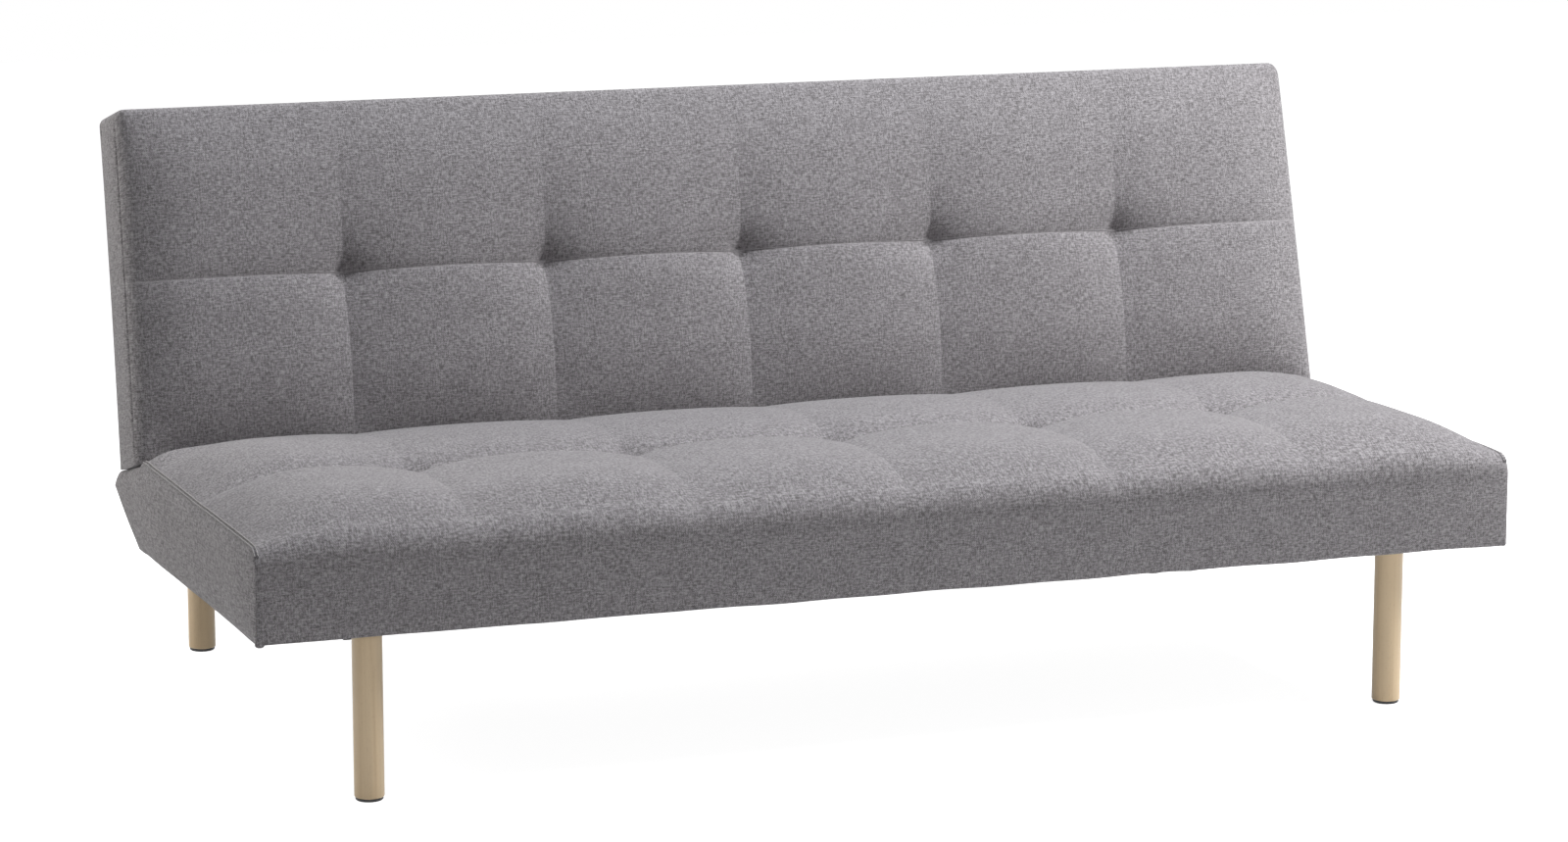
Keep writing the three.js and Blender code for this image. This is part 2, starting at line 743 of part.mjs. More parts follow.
// The seat's arm: a disc with three notches on a strap that is joggled to lie on the bearer
function hingeSeatArm() {
  const middle = bearerTop - bearerHeight / 2;
  const round = seatArmHeight / 2;
  const low = middle - round;
  const high = middle + round;
  const slant = ratchetRadius * Math.SQRT1_2;
  const shape = new THREE.Shape();
  shape.moveTo(seatArmRear, low);
  shape.lineTo(pivotY - slant, pivotZ - slant);
  shape.lineTo(pivotY, pivotZ);
  shape.lineTo(pivotY - slant / 2, pivotZ + ratchetRadius * Math.cos(Math.PI / 6));
  shape.lineTo(seatArmRear, high);
  shape.lineTo(seatArmFront + round, high);
  shape.absarc(seatArmFront + round, middle, round, Math.PI / 2, (3 * Math.PI) / 2, false);
  const strap = alongX(shape, hingeFaceX, ratchetX + ratchetThickness);
  const disc = barX(ratchetRadius, hingeFaceX, ratchetX + ratchetThickness, pivotY, pivotZ, 32);
  const face = hingeFaceX + fit;
  const bend = seatArmRear + round;
  const plan = outline([
    [face, seatArmFront - overrun],
    [face + ratchetThickness, seatArmFront - overrun],
    [face + ratchetThickness, seatArmRear],
    [ratchetX + ratchetThickness, bend],
    [ratchetX + ratchetThickness, pivotY + overrun],
    [ratchetX, pivotY + overrun],
    [ratchetX, bend],
    [face, seatArmRear],
  ]);
  const sheet = alongZ(plan, pivotZ - overrun, frameTopHeight + overrun);
  const notches = [0, loungeAngle, foldAngle].map((stop) => {
    const half = pawlToothWidth / 2 + notchPlay;
    const notch = box(hingeFaceX - overrun, outerFaceX + overrun, -half, half + toothShift(),
      ratchetRadius - pawlToothDepth, ratchetRadius + overrun);
    return notch.rotateX(-backLean - stop).translate(0, pivotY, pivotZ);
  });
  const bore = barX(pinRadius + pinPlay, hingeFaceX - overrun, outerFaceX + overrun, pivotY, pivotZ, 24);
  const bolts = seatBoltPlaces().map(([y, z]) =>
    barX(boltRadius + boltPlay, hingeFaceX - overrun, outerFaceX + overrun, y, z, 8));
  return cut(common(join(strap, disc), sheet), ...notches, bore, ...bolts);
}

// One cheek of the backrest's arm, from its hub past the pawl's ear and up its strap
function cheek(fromX, length) {
  const half = strapWidth / 2;
  const shape = new THREE.Shape();
  shape.moveTo(strapFront, pivotSetback - slotClearance);
  shape.lineTo(strapFront, length - half);
  shape.absarc(strapFront + half, length - half, half, Math.PI, 0, true);
  shape.lineTo(strapRear, pivotSetback - slotClearance);
  shape.absarc(pawlPinBack, pawlPinHeight, pawlEarRadius, Math.PI / 3, -Math.PI / 3, true);
  shape.absarc(0, 0, cheekRadius, -Math.PI / 8, -Math.PI * (1 + 1 / 10), true);
  return alongX(shape, fromX, fromX + cheekThickness);
}

// The backrest's arm: two cheeks about the ratchet, joined by a web
function hingeBackArm() {
  const web = box(innerCheekX, outerFaceX, strapRear - cheekThickness, strapRear,
    pivotSetback - slotClearance, outerCheekLength - strapWidth / 2);
  const body = join(cheek(innerCheekX, strapLength), cheek(outerCheekX, outerCheekLength), web);
  const bore = barX(pinRadius + pinPlay, hingeFaceX - overrun, outerFaceX + overrun, 0, 0, 24);
  const ear = barX(pawlPinRadius + pinPlay, hingeFaceX - overrun, outerFaceX + overrun,
    pawlPinBack, pawlPinHeight, 12);
  const bolts = strapBoltPlaces().map(([y, z]) =>
    barX(boltRadius + boltPlay, hingeFaceX - overrun, outerFaceX + overrun, y, z, 8));
  return cut(body, bore, ear, ...bolts);
}

// A headed pin along X through both cheeks
function headedPin(radius, headRadius, sides) {
  const start = innerCheekX - fit;
  const end = outerFaceX + fit;
  const profile = [
    [0, start - pinHeadThickness],
    [headRadius, start - pinHeadThickness],
    [headRadius, start],
    [radius, start],
    [radius, end],
    [headRadius, end],
    [headRadius, end + pinHeadThickness],
    [0, end + pinHeadThickness],
  ];
  return turnedX(profile, sides);
}

function hingePin() {
  return headedPin(pinRadius, pinHeadRadius, 24);
}

function pawlPin() {
  return headedPin(pawlPinRadius, pawlPinHeadRadius, 12).translate(0, pawlPinBack, pawlPinHeight);
}

// The pawl, drawn lifted clear of the ratchet's rim, as it is between two notches
function pawl() {
  const toothEnd = ratchetRadius + pawlLift;
  const half = pawlToothWidth / 2;
  const barFloor = pawlPinHeight - pawlBarHeight / 2;
  const shape = new THREE.Shape();
  shape.moveTo(-half, toothEnd);
  shape.lineTo(half, toothEnd);
  shape.lineTo(half, barFloor);
  shape.absarc(pawlPinBack, pawlPinHeight, pawlEyeRadius, (-3 * Math.PI) / 4, (3 * Math.PI) / 4, false);
  shape.lineTo(-half, barFloor + pawlBarHeight);
  const body = alongX(shape, ratchetX, ratchetX + ratchetThickness);
  const eye = barX(pawlPinRadius + pinPlay, ratchetX - overrun, outerFaceX + overrun,
    pawlPinBack, pawlPinHeight, 12);
  return cut(body, eye);
}

// A bent leaf on the web that presses the pawl towards the ratchet
function pawlSpring() {
  const top = outerCheekLength - strapWidth / 2;
  const bend = pivotSetback - 2 * slotClearance;
  const flat = strapRear + fit + leafThickness / 2;
  const rest = pawlPinHeight + pawlBarHeight / 2 + leafThickness;
  const path = [
    [flat, top],
    [flat, bend],
    [flat / 2, (bend + rest) / 2],
    [0, rest + fit],
    [pawlToothWidth, rest + fit],
  ];
  const middle = ratchetX + ratchetThickness / 2;
  return alongX(strip(path, leafThickness), middle - leafWidth / 2, middle + leafWidth / 2);
}

// Base, drawn on the right side where it has two sides

// A square plate with rounded corners and a threaded socket, under the frame
function frontLegPlate() {
  const half = legPlateSize / 2;
  const reach = half - legPlateCorner;
  const shape = new THREE.Shape();
  shape.absarc(reach, reach, legPlateCorner, 0, Math.PI / 2, false);
  shape.absarc(-reach, reach, legPlateCorner, Math.PI / 2, Math.PI, false);
  shape.absarc(-reach, -reach, legPlateCorner, Math.PI, (3 * Math.PI) / 2, false);
  shape.absarc(reach, -reach, legPlateCorner, (3 * Math.PI) / 2, 2 * Math.PI, false);
  const plate = alongZ(shape, railTop - legPlateThickness, railTop, 3);
  const socket = barZ(socketRadius, railTop - legPlateThickness, railTop + socketHeight, 0, 0);
  const bore = barZ(boltRadius + boltPlay, railTop - overrun, railTop + overrun, 0, 0, 12);
  const screws = [[1, 1], [1, -1], [-1, 1], [-1, -1]].map(([u, v]) =>
    barZ(boltRadius / 2 + boltPlay, railTop - overrun, railTop + overrun, u * reach, v * reach, 6));
  return cut(join(plate, socket), bore, ...screws).translate(bearerX, frontLegPlace, 0);
}

// A turned leg from its glide up to its plate, bored for the bolt
function leg(top) {
  const foot = glideThickness + fit;
  const bore = boltRadius + boltPlay;
  const profile = [
    [0, foot],
    [legRadius - legChamfer, foot],
    [legRadius, foot + legChamfer],
    [legRadius, top],
    [bore, top],
    [bore, top - legSocketDepth],
    [0, top - legSocketDepth],
  ];
  return turned(profile, 24);
}

function glide() {
  const radius = legRadius - glideInset;
  const profile = [
    [0, 0],
    [radius - glideInset, 0],
    [radius, glideInset],
    [radius, glideThickness],
    [0, glideThickness],
  ];
  return turned(profile, 24);
}

// The stud between a leg and its socket
function legBolt(legTop, socketTop) {
  return barZ(boltRadius, legTop - legSocketDepth + legChamfer, socketTop - fit, 0, 0, 12);
}

// Two rails and a cross tube, welded, with a socket for each rear leg
function baseFrame() {
  const outer = [];
  const inner = [];
  const holes = [];
  const sockets = [];
  const crossFrom = rearLegPlace - crossTubeWidth / 2;
  const crossTo = rearLegPlace + crossTubeWidth / 2;
  const innerEdge = bearerX - railWidth / 2;
  outer.push(box(-bearerX, bearerX, crossFrom, crossTo, railBottom, railTop));
  inner.push(box(-innerEdge - railWall, innerEdge + railWall, crossFrom + railWall, crossTo - railWall,
    railBottom + railWall, railTop - railWall));
  for (const x of [-bearerX, bearerX]) {
    const left = x - railWidth / 2;
    const right = x + railWidth / 2;
    outer.push(box(left, right, railStart, rearEnd, railBottom, railTop));
    inner.push(box(left + railWall, right - railWall, railStart + railWall, rearEnd - railWall,
      railBottom + railWall, railTop - railWall));
    const floor = railBottom + railWall;
    const bore = boltRadius + boltPlay;
    sockets.push(barZ(legRadius - legChamfer, railBottom - legPlateThickness, floor, x, rearLegPlace));
    sockets.push(barZ(socketRadius, railBottom, floor + socketHeight, x, rearLegPlace));
    holes.push(barZ(bore, railBottom - overrun, floor + socketHeight + railWall, x, rearLegPlace, 12));
    for (const y of railBoltPlaces()) {
      holes.push(barZ(bore, railBottom - overrun, railTop + overrun, x, y, 8));
    }
  }
  const tubes = cut(join(...outer), join(...inner));
  return cut(join(tubes, ...sockets), ...holes);
}

// Where the rails are bolted up into the bearers
function railBoltPlaces() {
  return [railStart + bearerWidth, seatArmFront - bearerWidth / 2];
}

// A rubber stop on a rail, which the backrest lies on when it is flat
function bumper() {
  const floor = railTop + fit;
  const top = pivotZ - backRear - fit;
  const profile = [[0, floor], [bumperRadius, floor], [bumperRadius - glideInset, top], [0, top]];
  return turned(profile, 16).translate(bearerX, rearLegPlace - bumperSetback, 0);
}

// The whole sofa

function piece(name, geometry, material) {
  const mesh = new THREE.Mesh(geometry, material);
  mesh.name = name;
  return mesh;
}

const sofa = new THREE.Group();
sofa.position.y = -middleY;

const backrest = new THREE.Group();
backrest.position.set(0, pivotY, pivotZ);
backrest.rotation.x = -backLean;
sofa.add(backrest);

sofa.add(
  piece('seat_cover', seatCover(), fabric),
  piece('seat_foam', seatFoam(), foam),
  piece('seat_dust_cover', seatDustCover(), lining),
  piece('seat_springs', seatSprings(), steel),
  piece('seat_front_rail', seatFrontRail(), pine),
  piece('seat_cross_rail', seatCrossRail(), pine),
  piece('seat_rear_rail', seatRearRail(), pine),
  piece('seat_bearer_centre', seatCentreBearer(), pine),
  piece('base_frame', baseFrame(), blackSteel),
);

backrest.add(
  piece('back_cover', backCover(), fabric),
  piece('back_foam', backFoam(), foam),
  piece('back_rear_panel', backRearPanel(), fabric),
  piece('back_webbing', backWebbing(), lining),
  piece('back_top_rail', backTopRail(), pine),
  piece('back_bottom_rail', backBottomRail(), pine),
  piece('back_stile_centre', backUpright(-bearerWidth / 2, bearerWidth / 2), pine),
);

const frontLegTop = railTop - legPlateThickness - fit;
const rearLegTop = railBottom - legPlateThickness - fit;
const frontSocketTop = railTop + socketHeight;
const rearSocketTop = railBottom + railWall + socketHeight;

for (const [side, sign] of [['left', -1], ['right', 1]]) {
  const seatSide = new THREE.Group();
  seatSide.scale.x = sign;
  sofa.add(seatSide);
  seatSide.add(
    piece(`seat_end_board_${side}`, seatEndBoard(), pine),
    piece(`seat_bearer_${side}`, seatSideBearer(), pine),
    piece(`hinge_seat_arm_${side}`, hingeSeatArm(), steel),
    piece(`front_leg_plate_${side}`, frontLegPlate(), blackSteel),
    piece(`bumper_${side}`, bumper(), rubber),
  );
  seatBoltPlaces().forEach(([y, z], i) => {
    const bolt = hingeBolt(hingeFaceX - bearerWidth, hingeFaceX + fit + ratchetThickness);
    seatSide.add(piece(`seat_arm_bolt_${['front', 'rear'][i]}_${side}`, bolt.translate(0, y, z), steel));
  });
  const stand = (end, y, legTop, socketTop) => {
    const place = (geometry) => geometry.translate(bearerX, y, 0);
    seatSide.add(
      piece(`leg_${end}_${side}`, place(leg(legTop)), beech),
      piece(`leg_bolt_${end}_${side}`, place(legBolt(legTop, socketTop)), steel),
      piece(`glide_${end}_${side}`, place(glide()), rubber),
    );
  };
  stand('front', frontLegPlace, frontLegTop, frontSocketTop);
  stand('rear', rearLegPlace, rearLegTop, rearSocketTop);

  const backSide = new THREE.Group();
  backSide.scale.x = sign;
  backrest.add(backSide);
  backSide.add(
    piece(`back_stile_${side}`, backSideStile(), pine),
    piece(`back_end_board_${side}`, backEndBoard(), pine),
    piece(`hinge_back_arm_${side}`, hingeBackArm(), steel),
    piece(`hinge_pin_${side}`, hingePin(), steel),
    piece(`pawl_${side}`, pawl(), blackSteel),
    piece(`pawl_pin_${side}`, pawlPin(), steel),
    piece(`pawl_spring_${side}`, pawlSpring(), steel),
  );
  strapBoltPlaces().forEach(([y, z], i) => {
    const bolt = hingeBolt(hingeFaceX - bearerWidth, innerCheekX + cheekThickness);
    backSide.add(piece(`back_arm_bolt_${['lower', 'upper'][i]}_${side}`, bolt.translate(0, y, z), steel));
  });
}

export default sofa;
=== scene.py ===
"""A click clack sofa bed: upholstery, legs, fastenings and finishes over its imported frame.

Everything is in metres, in the frame's own axes: +X along the width, +Y towards the backrest,
+Z up. The seat and the backrest are boxed covers: a quilted wrap that runs across the width,
and two side panels that are ruled between the wrap's edges.
"""

import json
import math

import bmesh
import bpy
import numpy as np
from bpy.props import FloatProperty, IntProperty, PointerProperty, StringProperty
from mathutils import Matrix, Vector


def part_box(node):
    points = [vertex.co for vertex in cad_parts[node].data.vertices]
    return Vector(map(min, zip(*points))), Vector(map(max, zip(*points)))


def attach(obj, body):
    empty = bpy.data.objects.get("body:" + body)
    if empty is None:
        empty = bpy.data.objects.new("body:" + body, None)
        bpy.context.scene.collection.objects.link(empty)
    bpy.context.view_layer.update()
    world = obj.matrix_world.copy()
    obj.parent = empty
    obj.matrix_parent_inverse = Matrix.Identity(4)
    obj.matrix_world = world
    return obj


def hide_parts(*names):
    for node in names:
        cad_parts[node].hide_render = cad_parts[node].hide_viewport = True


bl_info = {
    "name": "Click clack sofa bed",
    "version": (1, 0, 0),
    "blender": (4, 5, 0),
    "location": "3D View > Sidebar > Sofa",
    "description": "Upholsters and finishes a click clack sofa bed",
    "category": "Object",
}

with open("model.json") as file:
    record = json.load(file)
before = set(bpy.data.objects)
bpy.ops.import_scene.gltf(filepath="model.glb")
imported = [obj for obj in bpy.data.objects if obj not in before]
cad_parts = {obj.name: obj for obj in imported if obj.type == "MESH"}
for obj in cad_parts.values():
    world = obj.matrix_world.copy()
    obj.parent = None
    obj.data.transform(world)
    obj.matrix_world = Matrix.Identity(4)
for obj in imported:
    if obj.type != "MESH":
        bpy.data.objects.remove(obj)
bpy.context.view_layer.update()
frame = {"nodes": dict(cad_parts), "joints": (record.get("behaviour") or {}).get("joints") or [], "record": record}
FOLD = next(joint for joint in frame["joints"] if joint["name"] == "back_fold")
PIVOT_Y, PIVOT_Z = FOLD["pos_m"][1:]
LEAN = math.radians(90 - FOLD["range_deg"][1])
SEAT_LOW, SEAT_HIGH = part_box("seat_cover")
BACK_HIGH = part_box("back_cover")[1]

# The slots in the covers that the hinge arms pass through, from the middle of the width
SLOT_INNER, SLOT_OUTER = 0.7720, 0.7940
# Points closer than this are one point, in a cover and in a small piece
COVER_WELD, PIECE_WELD = 0.00005, 0.00001
# Faces that meet at more than this are drawn with a sharp edge
SHARP_ANGLE = math.radians(52)
# The lines of the seat's hem under its edge: how far in, how high, and how much of the hem's wave
# each of them follows
HEM_IN = np.array([0.0008, 0.003, 0.006, 0.012, 0.026])
HEM_RISE = np.array([-0.002, -0.0026, -0.0019, -0.0002, 0.0008])
HEM_SHARE = np.array([0.3, 0.9, 1.0, 0.5, 0.0])
# Lines across the seat's front and its side panels, and around its front roll
PANEL_ROWS, ROLL_ROWS = 13, 10
TINY = 1e-6


# Sizes and colours that a user would change


class SofaSizes(bpy.types.PropertyGroup):
    edge_height: FloatProperty(
        name="Seat side height", description="Height of the seat's side panel at its seam",
        default=0.122, unit="LENGTH")
    seat_depth: FloatProperty(
        name="Seat depth", description="From the seat's front to the backrest's foot",
        default=0.617, unit="LENGTH")
    pivot_setback: FloatProperty(
        name="Pivot setback", description="From the backrest's foot to the hinge axis",
        default=0.095, unit="LENGTH")
    seat_crown: FloatProperty(
        name="Seat crown", description="How far the seat's padding swells above its side seam",
        default=0.052, unit="LENGTH")
    front_roll: FloatProperty(
        name="Front roll", description="Radius of the seat's front upper edge",
        default=0.025, unit="LENGTH")
    seat_tuft_depth: FloatProperty(
        name="Seat tuft row", description="From the seat's front to its row of tufts",
        default=0.306, unit="LENGTH")
    undercut_start: FloatProperty(
        name="Undercut start", description="Where the seat's underside begins to rise",
        default=0.638, unit="LENGTH")
    tip_angle: FloatProperty(
        name="Nose tip angle", description="Where the nose's arc ends, from the vertical",
        default=math.radians(50), unit="ROTATION")
    back_length: FloatProperty(
        name="Backrest length", description="From the backrest's foot to its head",
        default=0.491, unit="LENGTH")
    back_thickness: FloatProperty(
        name="Backrest thickness", description="Without the crown of its padding",
        default=0.112, unit="LENGTH")
    back_crown: FloatProperty(
        name="Backrest crown", description="How far the backrest's padding swells",
        default=0.028, unit="LENGTH")
    back_tuft_height: FloatProperty(
        name="Backrest tuft row", description="From the backrest's foot to its row of tufts",
        default=0.252, unit="LENGTH")
    tuft_pitch: FloatProperty(
        name="Tuft spacing", description="Between two tufts along the width",
        default=0.3, unit="LENGTH")
    tuft_count: IntProperty(
        name="Tufts", description="Tufts in a row", default=5, min=3)
    tuft_dip: FloatProperty(
        name="Tuft depth", description="How far a tuft pulls the cover in below its seams",
        default=0.024, unit="LENGTH")
    seam_dip: FloatProperty(
        name="Seam depth", description="How far the backrest's quilting seams lie below its crown",
        default=0.009, unit="LENGTH")
    seat_seam_dip: FloatProperty(
        name="Seat seam depth",
        description="How far the seat's quilting seams lie below its crown",
        default=0.015, unit="LENGTH")


class SofaLook(bpy.types.PropertyGroup):
    dark_yarn: StringProperty(
        name="Dark yarn", description="sRGB colour of the darkest fibres", default="#6A6767")
    middle_yarn: StringProperty(
        name="Middle yarn", description="sRGB colour of most fibres", default="#938F91")
    light_yarn: StringProperty(
        name="Light yarn", description="sRGB colour of the palest fibres", default="#B8B4B6")
    thread_spacing: FloatProperty(
        name="Thread spacing", description="Spacing of the woven threads",
        default=0.0014, unit="LENGTH", precision=5)
    wood: StringProperty(
        name="Leg wood", description="sRGB colour of the legs", default="#F2D7AF")


# Small helpers


def linear(hex_colour):
    """Linear colour from an sRGB hex value, by sRGB's own curve with its straight foot."""
    channels = [int(hex_colour[i:i + 2], 16) / 255 for i in (1, 3, 5)]
    return tuple(c / 12.92 if c <= 0.04045 else ((c + 0.055) / 1.055) ** 2.4
                 for c in channels) + (1.0,)


def node(tree, kind, settings=None, **links):
    """Adds one shader node: settings by attribute or input name, links by input name or number.
    The setting stops holds a colour ramp's [(place, colour), ...]."""
    made = tree.nodes.new(kind)
    for key, value in (settings or {}).items():
        if key == "stops":
            elements = made.color_ramp.elements
            while len(elements) < len(value):
                elements.new(0.5)
            for element, (place, colour) in zip(elements, value):
                element.position = place
                element.color = colour
        elif isinstance(key, str) and hasattr(made, key):
            setattr(made, key, value)
        else:
            made.inputs[key].default_value = value
    for key, source in links.items():
        slot_name = int(key[1:]) if key[0] == "i" and key[1:].isdigit() else key.replace("_", " ")
        tree.links.new(source, made.inputs[slot_name])
    return made


def new_material(name, roughness, metallic=0.0, **fixed):
    """A material with its shader's plain numbers set on their own sockets. Returns it, its tree
    and its shader."""
    material = bpy.data.materials.new(name)
    material.use_nodes = True
    tree = material.node_tree
    shader = tree.nodes["Principled BSDF"]
    shader.inputs["Roughness"].default_value = roughness
    shader.inputs["Metallic"].default_value = metallic
    for key, value in fixed.items():
        shader.inputs[key.replace("_", " ")].default_value = value
    return material, tree, shader


def give_surface(tree, shader, colour, height=None, strength=0.0, depth=0.0):
    """Links a material's colour to its shader, and its relief where it has one."""
    tree.links.new(colour, shader.inputs["Base Color"])
    if height is not None:
        bump = node(tree, "ShaderNodeBump", {"Strength": strength, "Distance": depth},
                    Height=height)
        tree.links.new(bump.outputs["Normal"], shader.inputs["Normal"])


def together(*parts):
    """Arrays or numbers spread over one grid and put side by side as its points."""
    return np.stack(np.broadcast_arrays(*parts), axis=-1)


def unit(vectors):
    """Rows of vectors, each divided by its length."""
    return vectors / np.linalg.norm(vectors, axis=1, keepdims=True)


def run_length(path):
    """Length along a path of points, from its start: the running sum of its steps."""
    return np.concatenate([[0], np.cumsum(np.linalg.norm(np.diff(path, axis=0), axis=1))])


def profile_length(y, z):
    """Length along a profile in the plane of Y and Z, from its start: the running sum of its
    steps."""
    return np.concatenate([[0], np.cumsum(np.hypot(np.diff(y), np.diff(z)))])


def grid_faces(rows, columns, keep=None):
    """Corner numbers of the quads of a grid of rows by columns points, as an array of four
    columns."""
    index = np.arange(rows * columns).reshape(rows, columns)
    quads = np.stack([index[:-1, :-1], index[1:, :-1], index[1:, 1:], index[:-1, 1:]], axis=-1)
    if keep is not None:
        quads = quads[keep]
    return quads.reshape(-1, 4)


def repeated_faces(quads, points_each, count):
    """The same quads for each of several like shapes, whose points follow one another."""
    return (quads[None] + (np.arange(count) * points_each)[:, None, None]).reshape(-1, 4)


def piece_from_sheets(name, sheets, weld=0.0):
    """One mesh object from several sheets, each (points, uv, quads, flip) and perhaps how much
    of each point is sewn. Each corner keeps its sheet's uv. With a weld distance, points that
    meet are merged and the faces are made to point outwards."""
    points = np.concatenate([sheet[0].reshape(-1, 3) for sheet in sheets])
    uvs = np.concatenate([sheet[1].reshape(-1, 2) for sheet in sheets])
    sizes = [sheet[0].size // 3 for sheet in sheets]
    starts = np.cumsum([0] + sizes[:-1])
    quads = np.concatenate([(sheet[2][:, ::-1] if sheet[3] else sheet[2]) + start
                            for sheet, start in zip(sheets, starts)])
    sewn = np.concatenate([sheet[4].ravel() if len(sheet) > 4 else np.zeros(size)
                           for sheet, size in zip(sheets, sizes)])
    mesh = bpy.data.meshes.new(name)
    mesh.vertices.add(len(points))
    mesh.vertices.foreach_set("co", points.astype(np.float32).ravel())
    mesh.loops.add(quads.size)
    mesh.loops.foreach_set("vertex_index", quads.astype(np.int32).ravel())
    mesh.polygons.add(len(quads))
    mesh.polygons.foreach_set("loop_start", np.arange(0, quads.size, 4, dtype=np.int32))
    mesh.update(calc_edges=True)
    layer = mesh.uv_layers.new(name="cloth")
    layer.uv.foreach_set("vector", uvs[quads.ravel()].astype(np.float32).ravel())
    # The sewn share is the mask of the cloth's painted highlight along the seams
    seam_highlight_layer = mesh.attributes.new("sewn", "FLOAT", "POINT")
    seam_highlight_layer.data.foreach_set("value", sewn.astype(np.float32))
    mesh.validate()
    if weld > 0:
        work = bmesh.new()
        work.from_mesh(mesh)
        bmesh.ops.remove_doubles(work, verts=work.verts, dist=weld)
        bmesh.ops.dissolve_degenerate(work, dist=weld / 10, edges=work.edges)
        bmesh.ops.recalc_face_normals(work, faces=work.faces)
        work.to_mesh(mesh)
        work.free()
    mesh.shade_smooth()
    mesh.set_sharp_from_angle(angle=SHARP_ANGLE)
    made = bpy.data.objects.new(name, mesh)
    bpy.context.scene.collection.objects.link(made)
    return made


def finish_piece(piece, body, slot_name, material, *stands_for):
    """Gives a piece its finish and its body, and hides the frame's nodes that it stands for."""
    piece.data.materials.clear()
    piece.data.materials.append(material)
    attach(piece, body)
    if stands_for:
        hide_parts(*stands_for)
    return piece


# Finishes


def woven_upholstery(look):
    """Heather polyester weave. The melange yarns give the eye a salt and pepper grain with no
    shine, longer slubs along both threads, and a faint sheen at grazing angles. The plain weave
    is drawn a little coarser than its real thread of about 0.8 mm, so that it shows. Reads the
    piece's own uv map, which is in metres."""
    material, tree, shader = new_material(
        "heather_polyester_weave", 0.92, IOR=1.46, Sheen_Weight=0.18, Sheen_Roughness=0.6,
        Specular_IOR_Level=0.22)
    uv = node(tree, "ShaderNodeTexCoord").outputs["UV"]
    parts = node(tree, "ShaderNodeSeparateXYZ", Vector=uv)
    threads = 1 / look.thread_spacing
    beside, along = 0.62 * threads, 0.2 * threads

    def streaks(over_x, over_y, seed):
        turned = node(tree, "ShaderNodeMapping",
                      {"Scale": (over_x, over_y, 1.0), "Location": (seed, seed * 1.7, 0)},
                      Vector=uv)
        return node(tree, "ShaderNodeTexNoise",
                    {"noise_dimensions": "2D", "Scale": 1.0, "Detail": 2.0, "Roughness": 0.65},
                    Vector=turned.outputs["Vector"]).outputs["Fac"]

    def ridge(axis):
        turn = node(tree, "ShaderNodeMath", {"operation": "MULTIPLY", 1: math.pi * threads},
                    i0=parts.outputs[axis])
        return node(tree, "ShaderNodeMath", {"operation": "SINE"}, i0=turn.outputs[0]).outputs[0]

    # Warp and weft take turns on top, and each has the streaks of its own yarn
    over = node(tree, "ShaderNodeMath", {"operation": "MULTIPLY"}, i0=ridge("X"), i1=ridge("Y"))
    chosen = node(tree, "ShaderNodeMapRange", {"From Min": -0.35, "From Max": 0.35},
                  Value=over.outputs[0])
    mixed = node(tree, "ShaderNodeMix", {"data_type": "FLOAT"}, i0=chosen.outputs["Result"],
                 i2=streaks(beside, along, 3.0), i3=streaks(along, beside, 11.0))
    # Slow clouds of darker and paler yarn about 40 mm across, and slubs about 2 by 15 mm
    cloud = node(tree, "ShaderNodeTexNoise",
                 {"noise_dimensions": "2D", "Scale": 26.0, "Detail": 3.0, "Roughness": 0.6},
                 Vector=uv)
    cloud_share = node(tree, "ShaderNodeMath", {"operation": "MULTIPLY_ADD", 1: 0.1, 2: -0.05},
                       i0=cloud.outputs["Fac"])
    slubs = node(tree, "ShaderNodeMix", {"data_type": "FLOAT", "Factor": 0.4},
                 i2=streaks(60.0, 480.0, 5.0), i3=streaks(480.0, 80.0, 9.0))
    slub_share = node(tree, "ShaderNodeMath", {"operation": "MULTIPLY_ADD", 1: 0.42, 2: -0.21},
                      i0=slubs.outputs[0])
    uneven = node(tree, "ShaderNodeMath", {"operation": "ADD"},
                  i0=cloud_share.outputs[0], i1=slub_share.outputs[0])
    tone = node(tree, "ShaderNodeMath", {"operation": "ADD"},
                i0=mixed.outputs[0], i1=uneven.outputs[0])
    colour = node(tree, "ShaderNodeValToRGB", {"stops": [
        (0.32, linear(look.dark_yarn)), (0.5, linear(look.middle_yarn)),
        (0.68, linear(look.light_yarn))]}, Fac=tone.outputs[0])
    # Painted highlight: along a sewn line the cloth is mixed towards the light yarn, for the bright line that the
    # seam's ridge catches from the lamps
    sewn = node(tree, "ShaderNodeAttribute", {"attribute_name": "sewn"})
    share = node(tree, "ShaderNodeMath", {"operation": "MULTIPLY", 1: 0.5}, i0=sewn.outputs["Fac"])
    with_seam_highlight = node(tree, "ShaderNodeMix", {"data_type": "RGBA", 7: linear(look.light_yarn)},
                      i0=share.outputs[0], i6=colour.outputs["Color"])
    height = node(tree, "ShaderNodeMath", {"operation": "ADD"},
                  i0=tone.outputs[0], i1=chosen.outputs["Result"])
    give_surface(tree, shader, with_seam_highlight.outputs[2], height.outputs[0], 0.35, 0.0005)
    return material


def sewing_thread():
    """Polyester core thread: a tight twist, a little paler than the cloth, satin."""
    material, tree, shader = new_material("polyester_core_thread", 0.6)
    place = node(tree, "ShaderNodeTexCoord").outputs["Object"]
    twist = node(tree, "ShaderNodeTexNoise", {"Scale": 900.0, "Detail": 1.0}, Vector=place)
    colour = node(tree, "ShaderNodeValToRGB", {"stops": [
        (0.3, linear("#A5A2A1")), (0.7, linear("#CFCCCA"))]}, Fac=twist.outputs["Fac"])
    give_surface(tree, shader, colour.outputs["Color"])
    return material


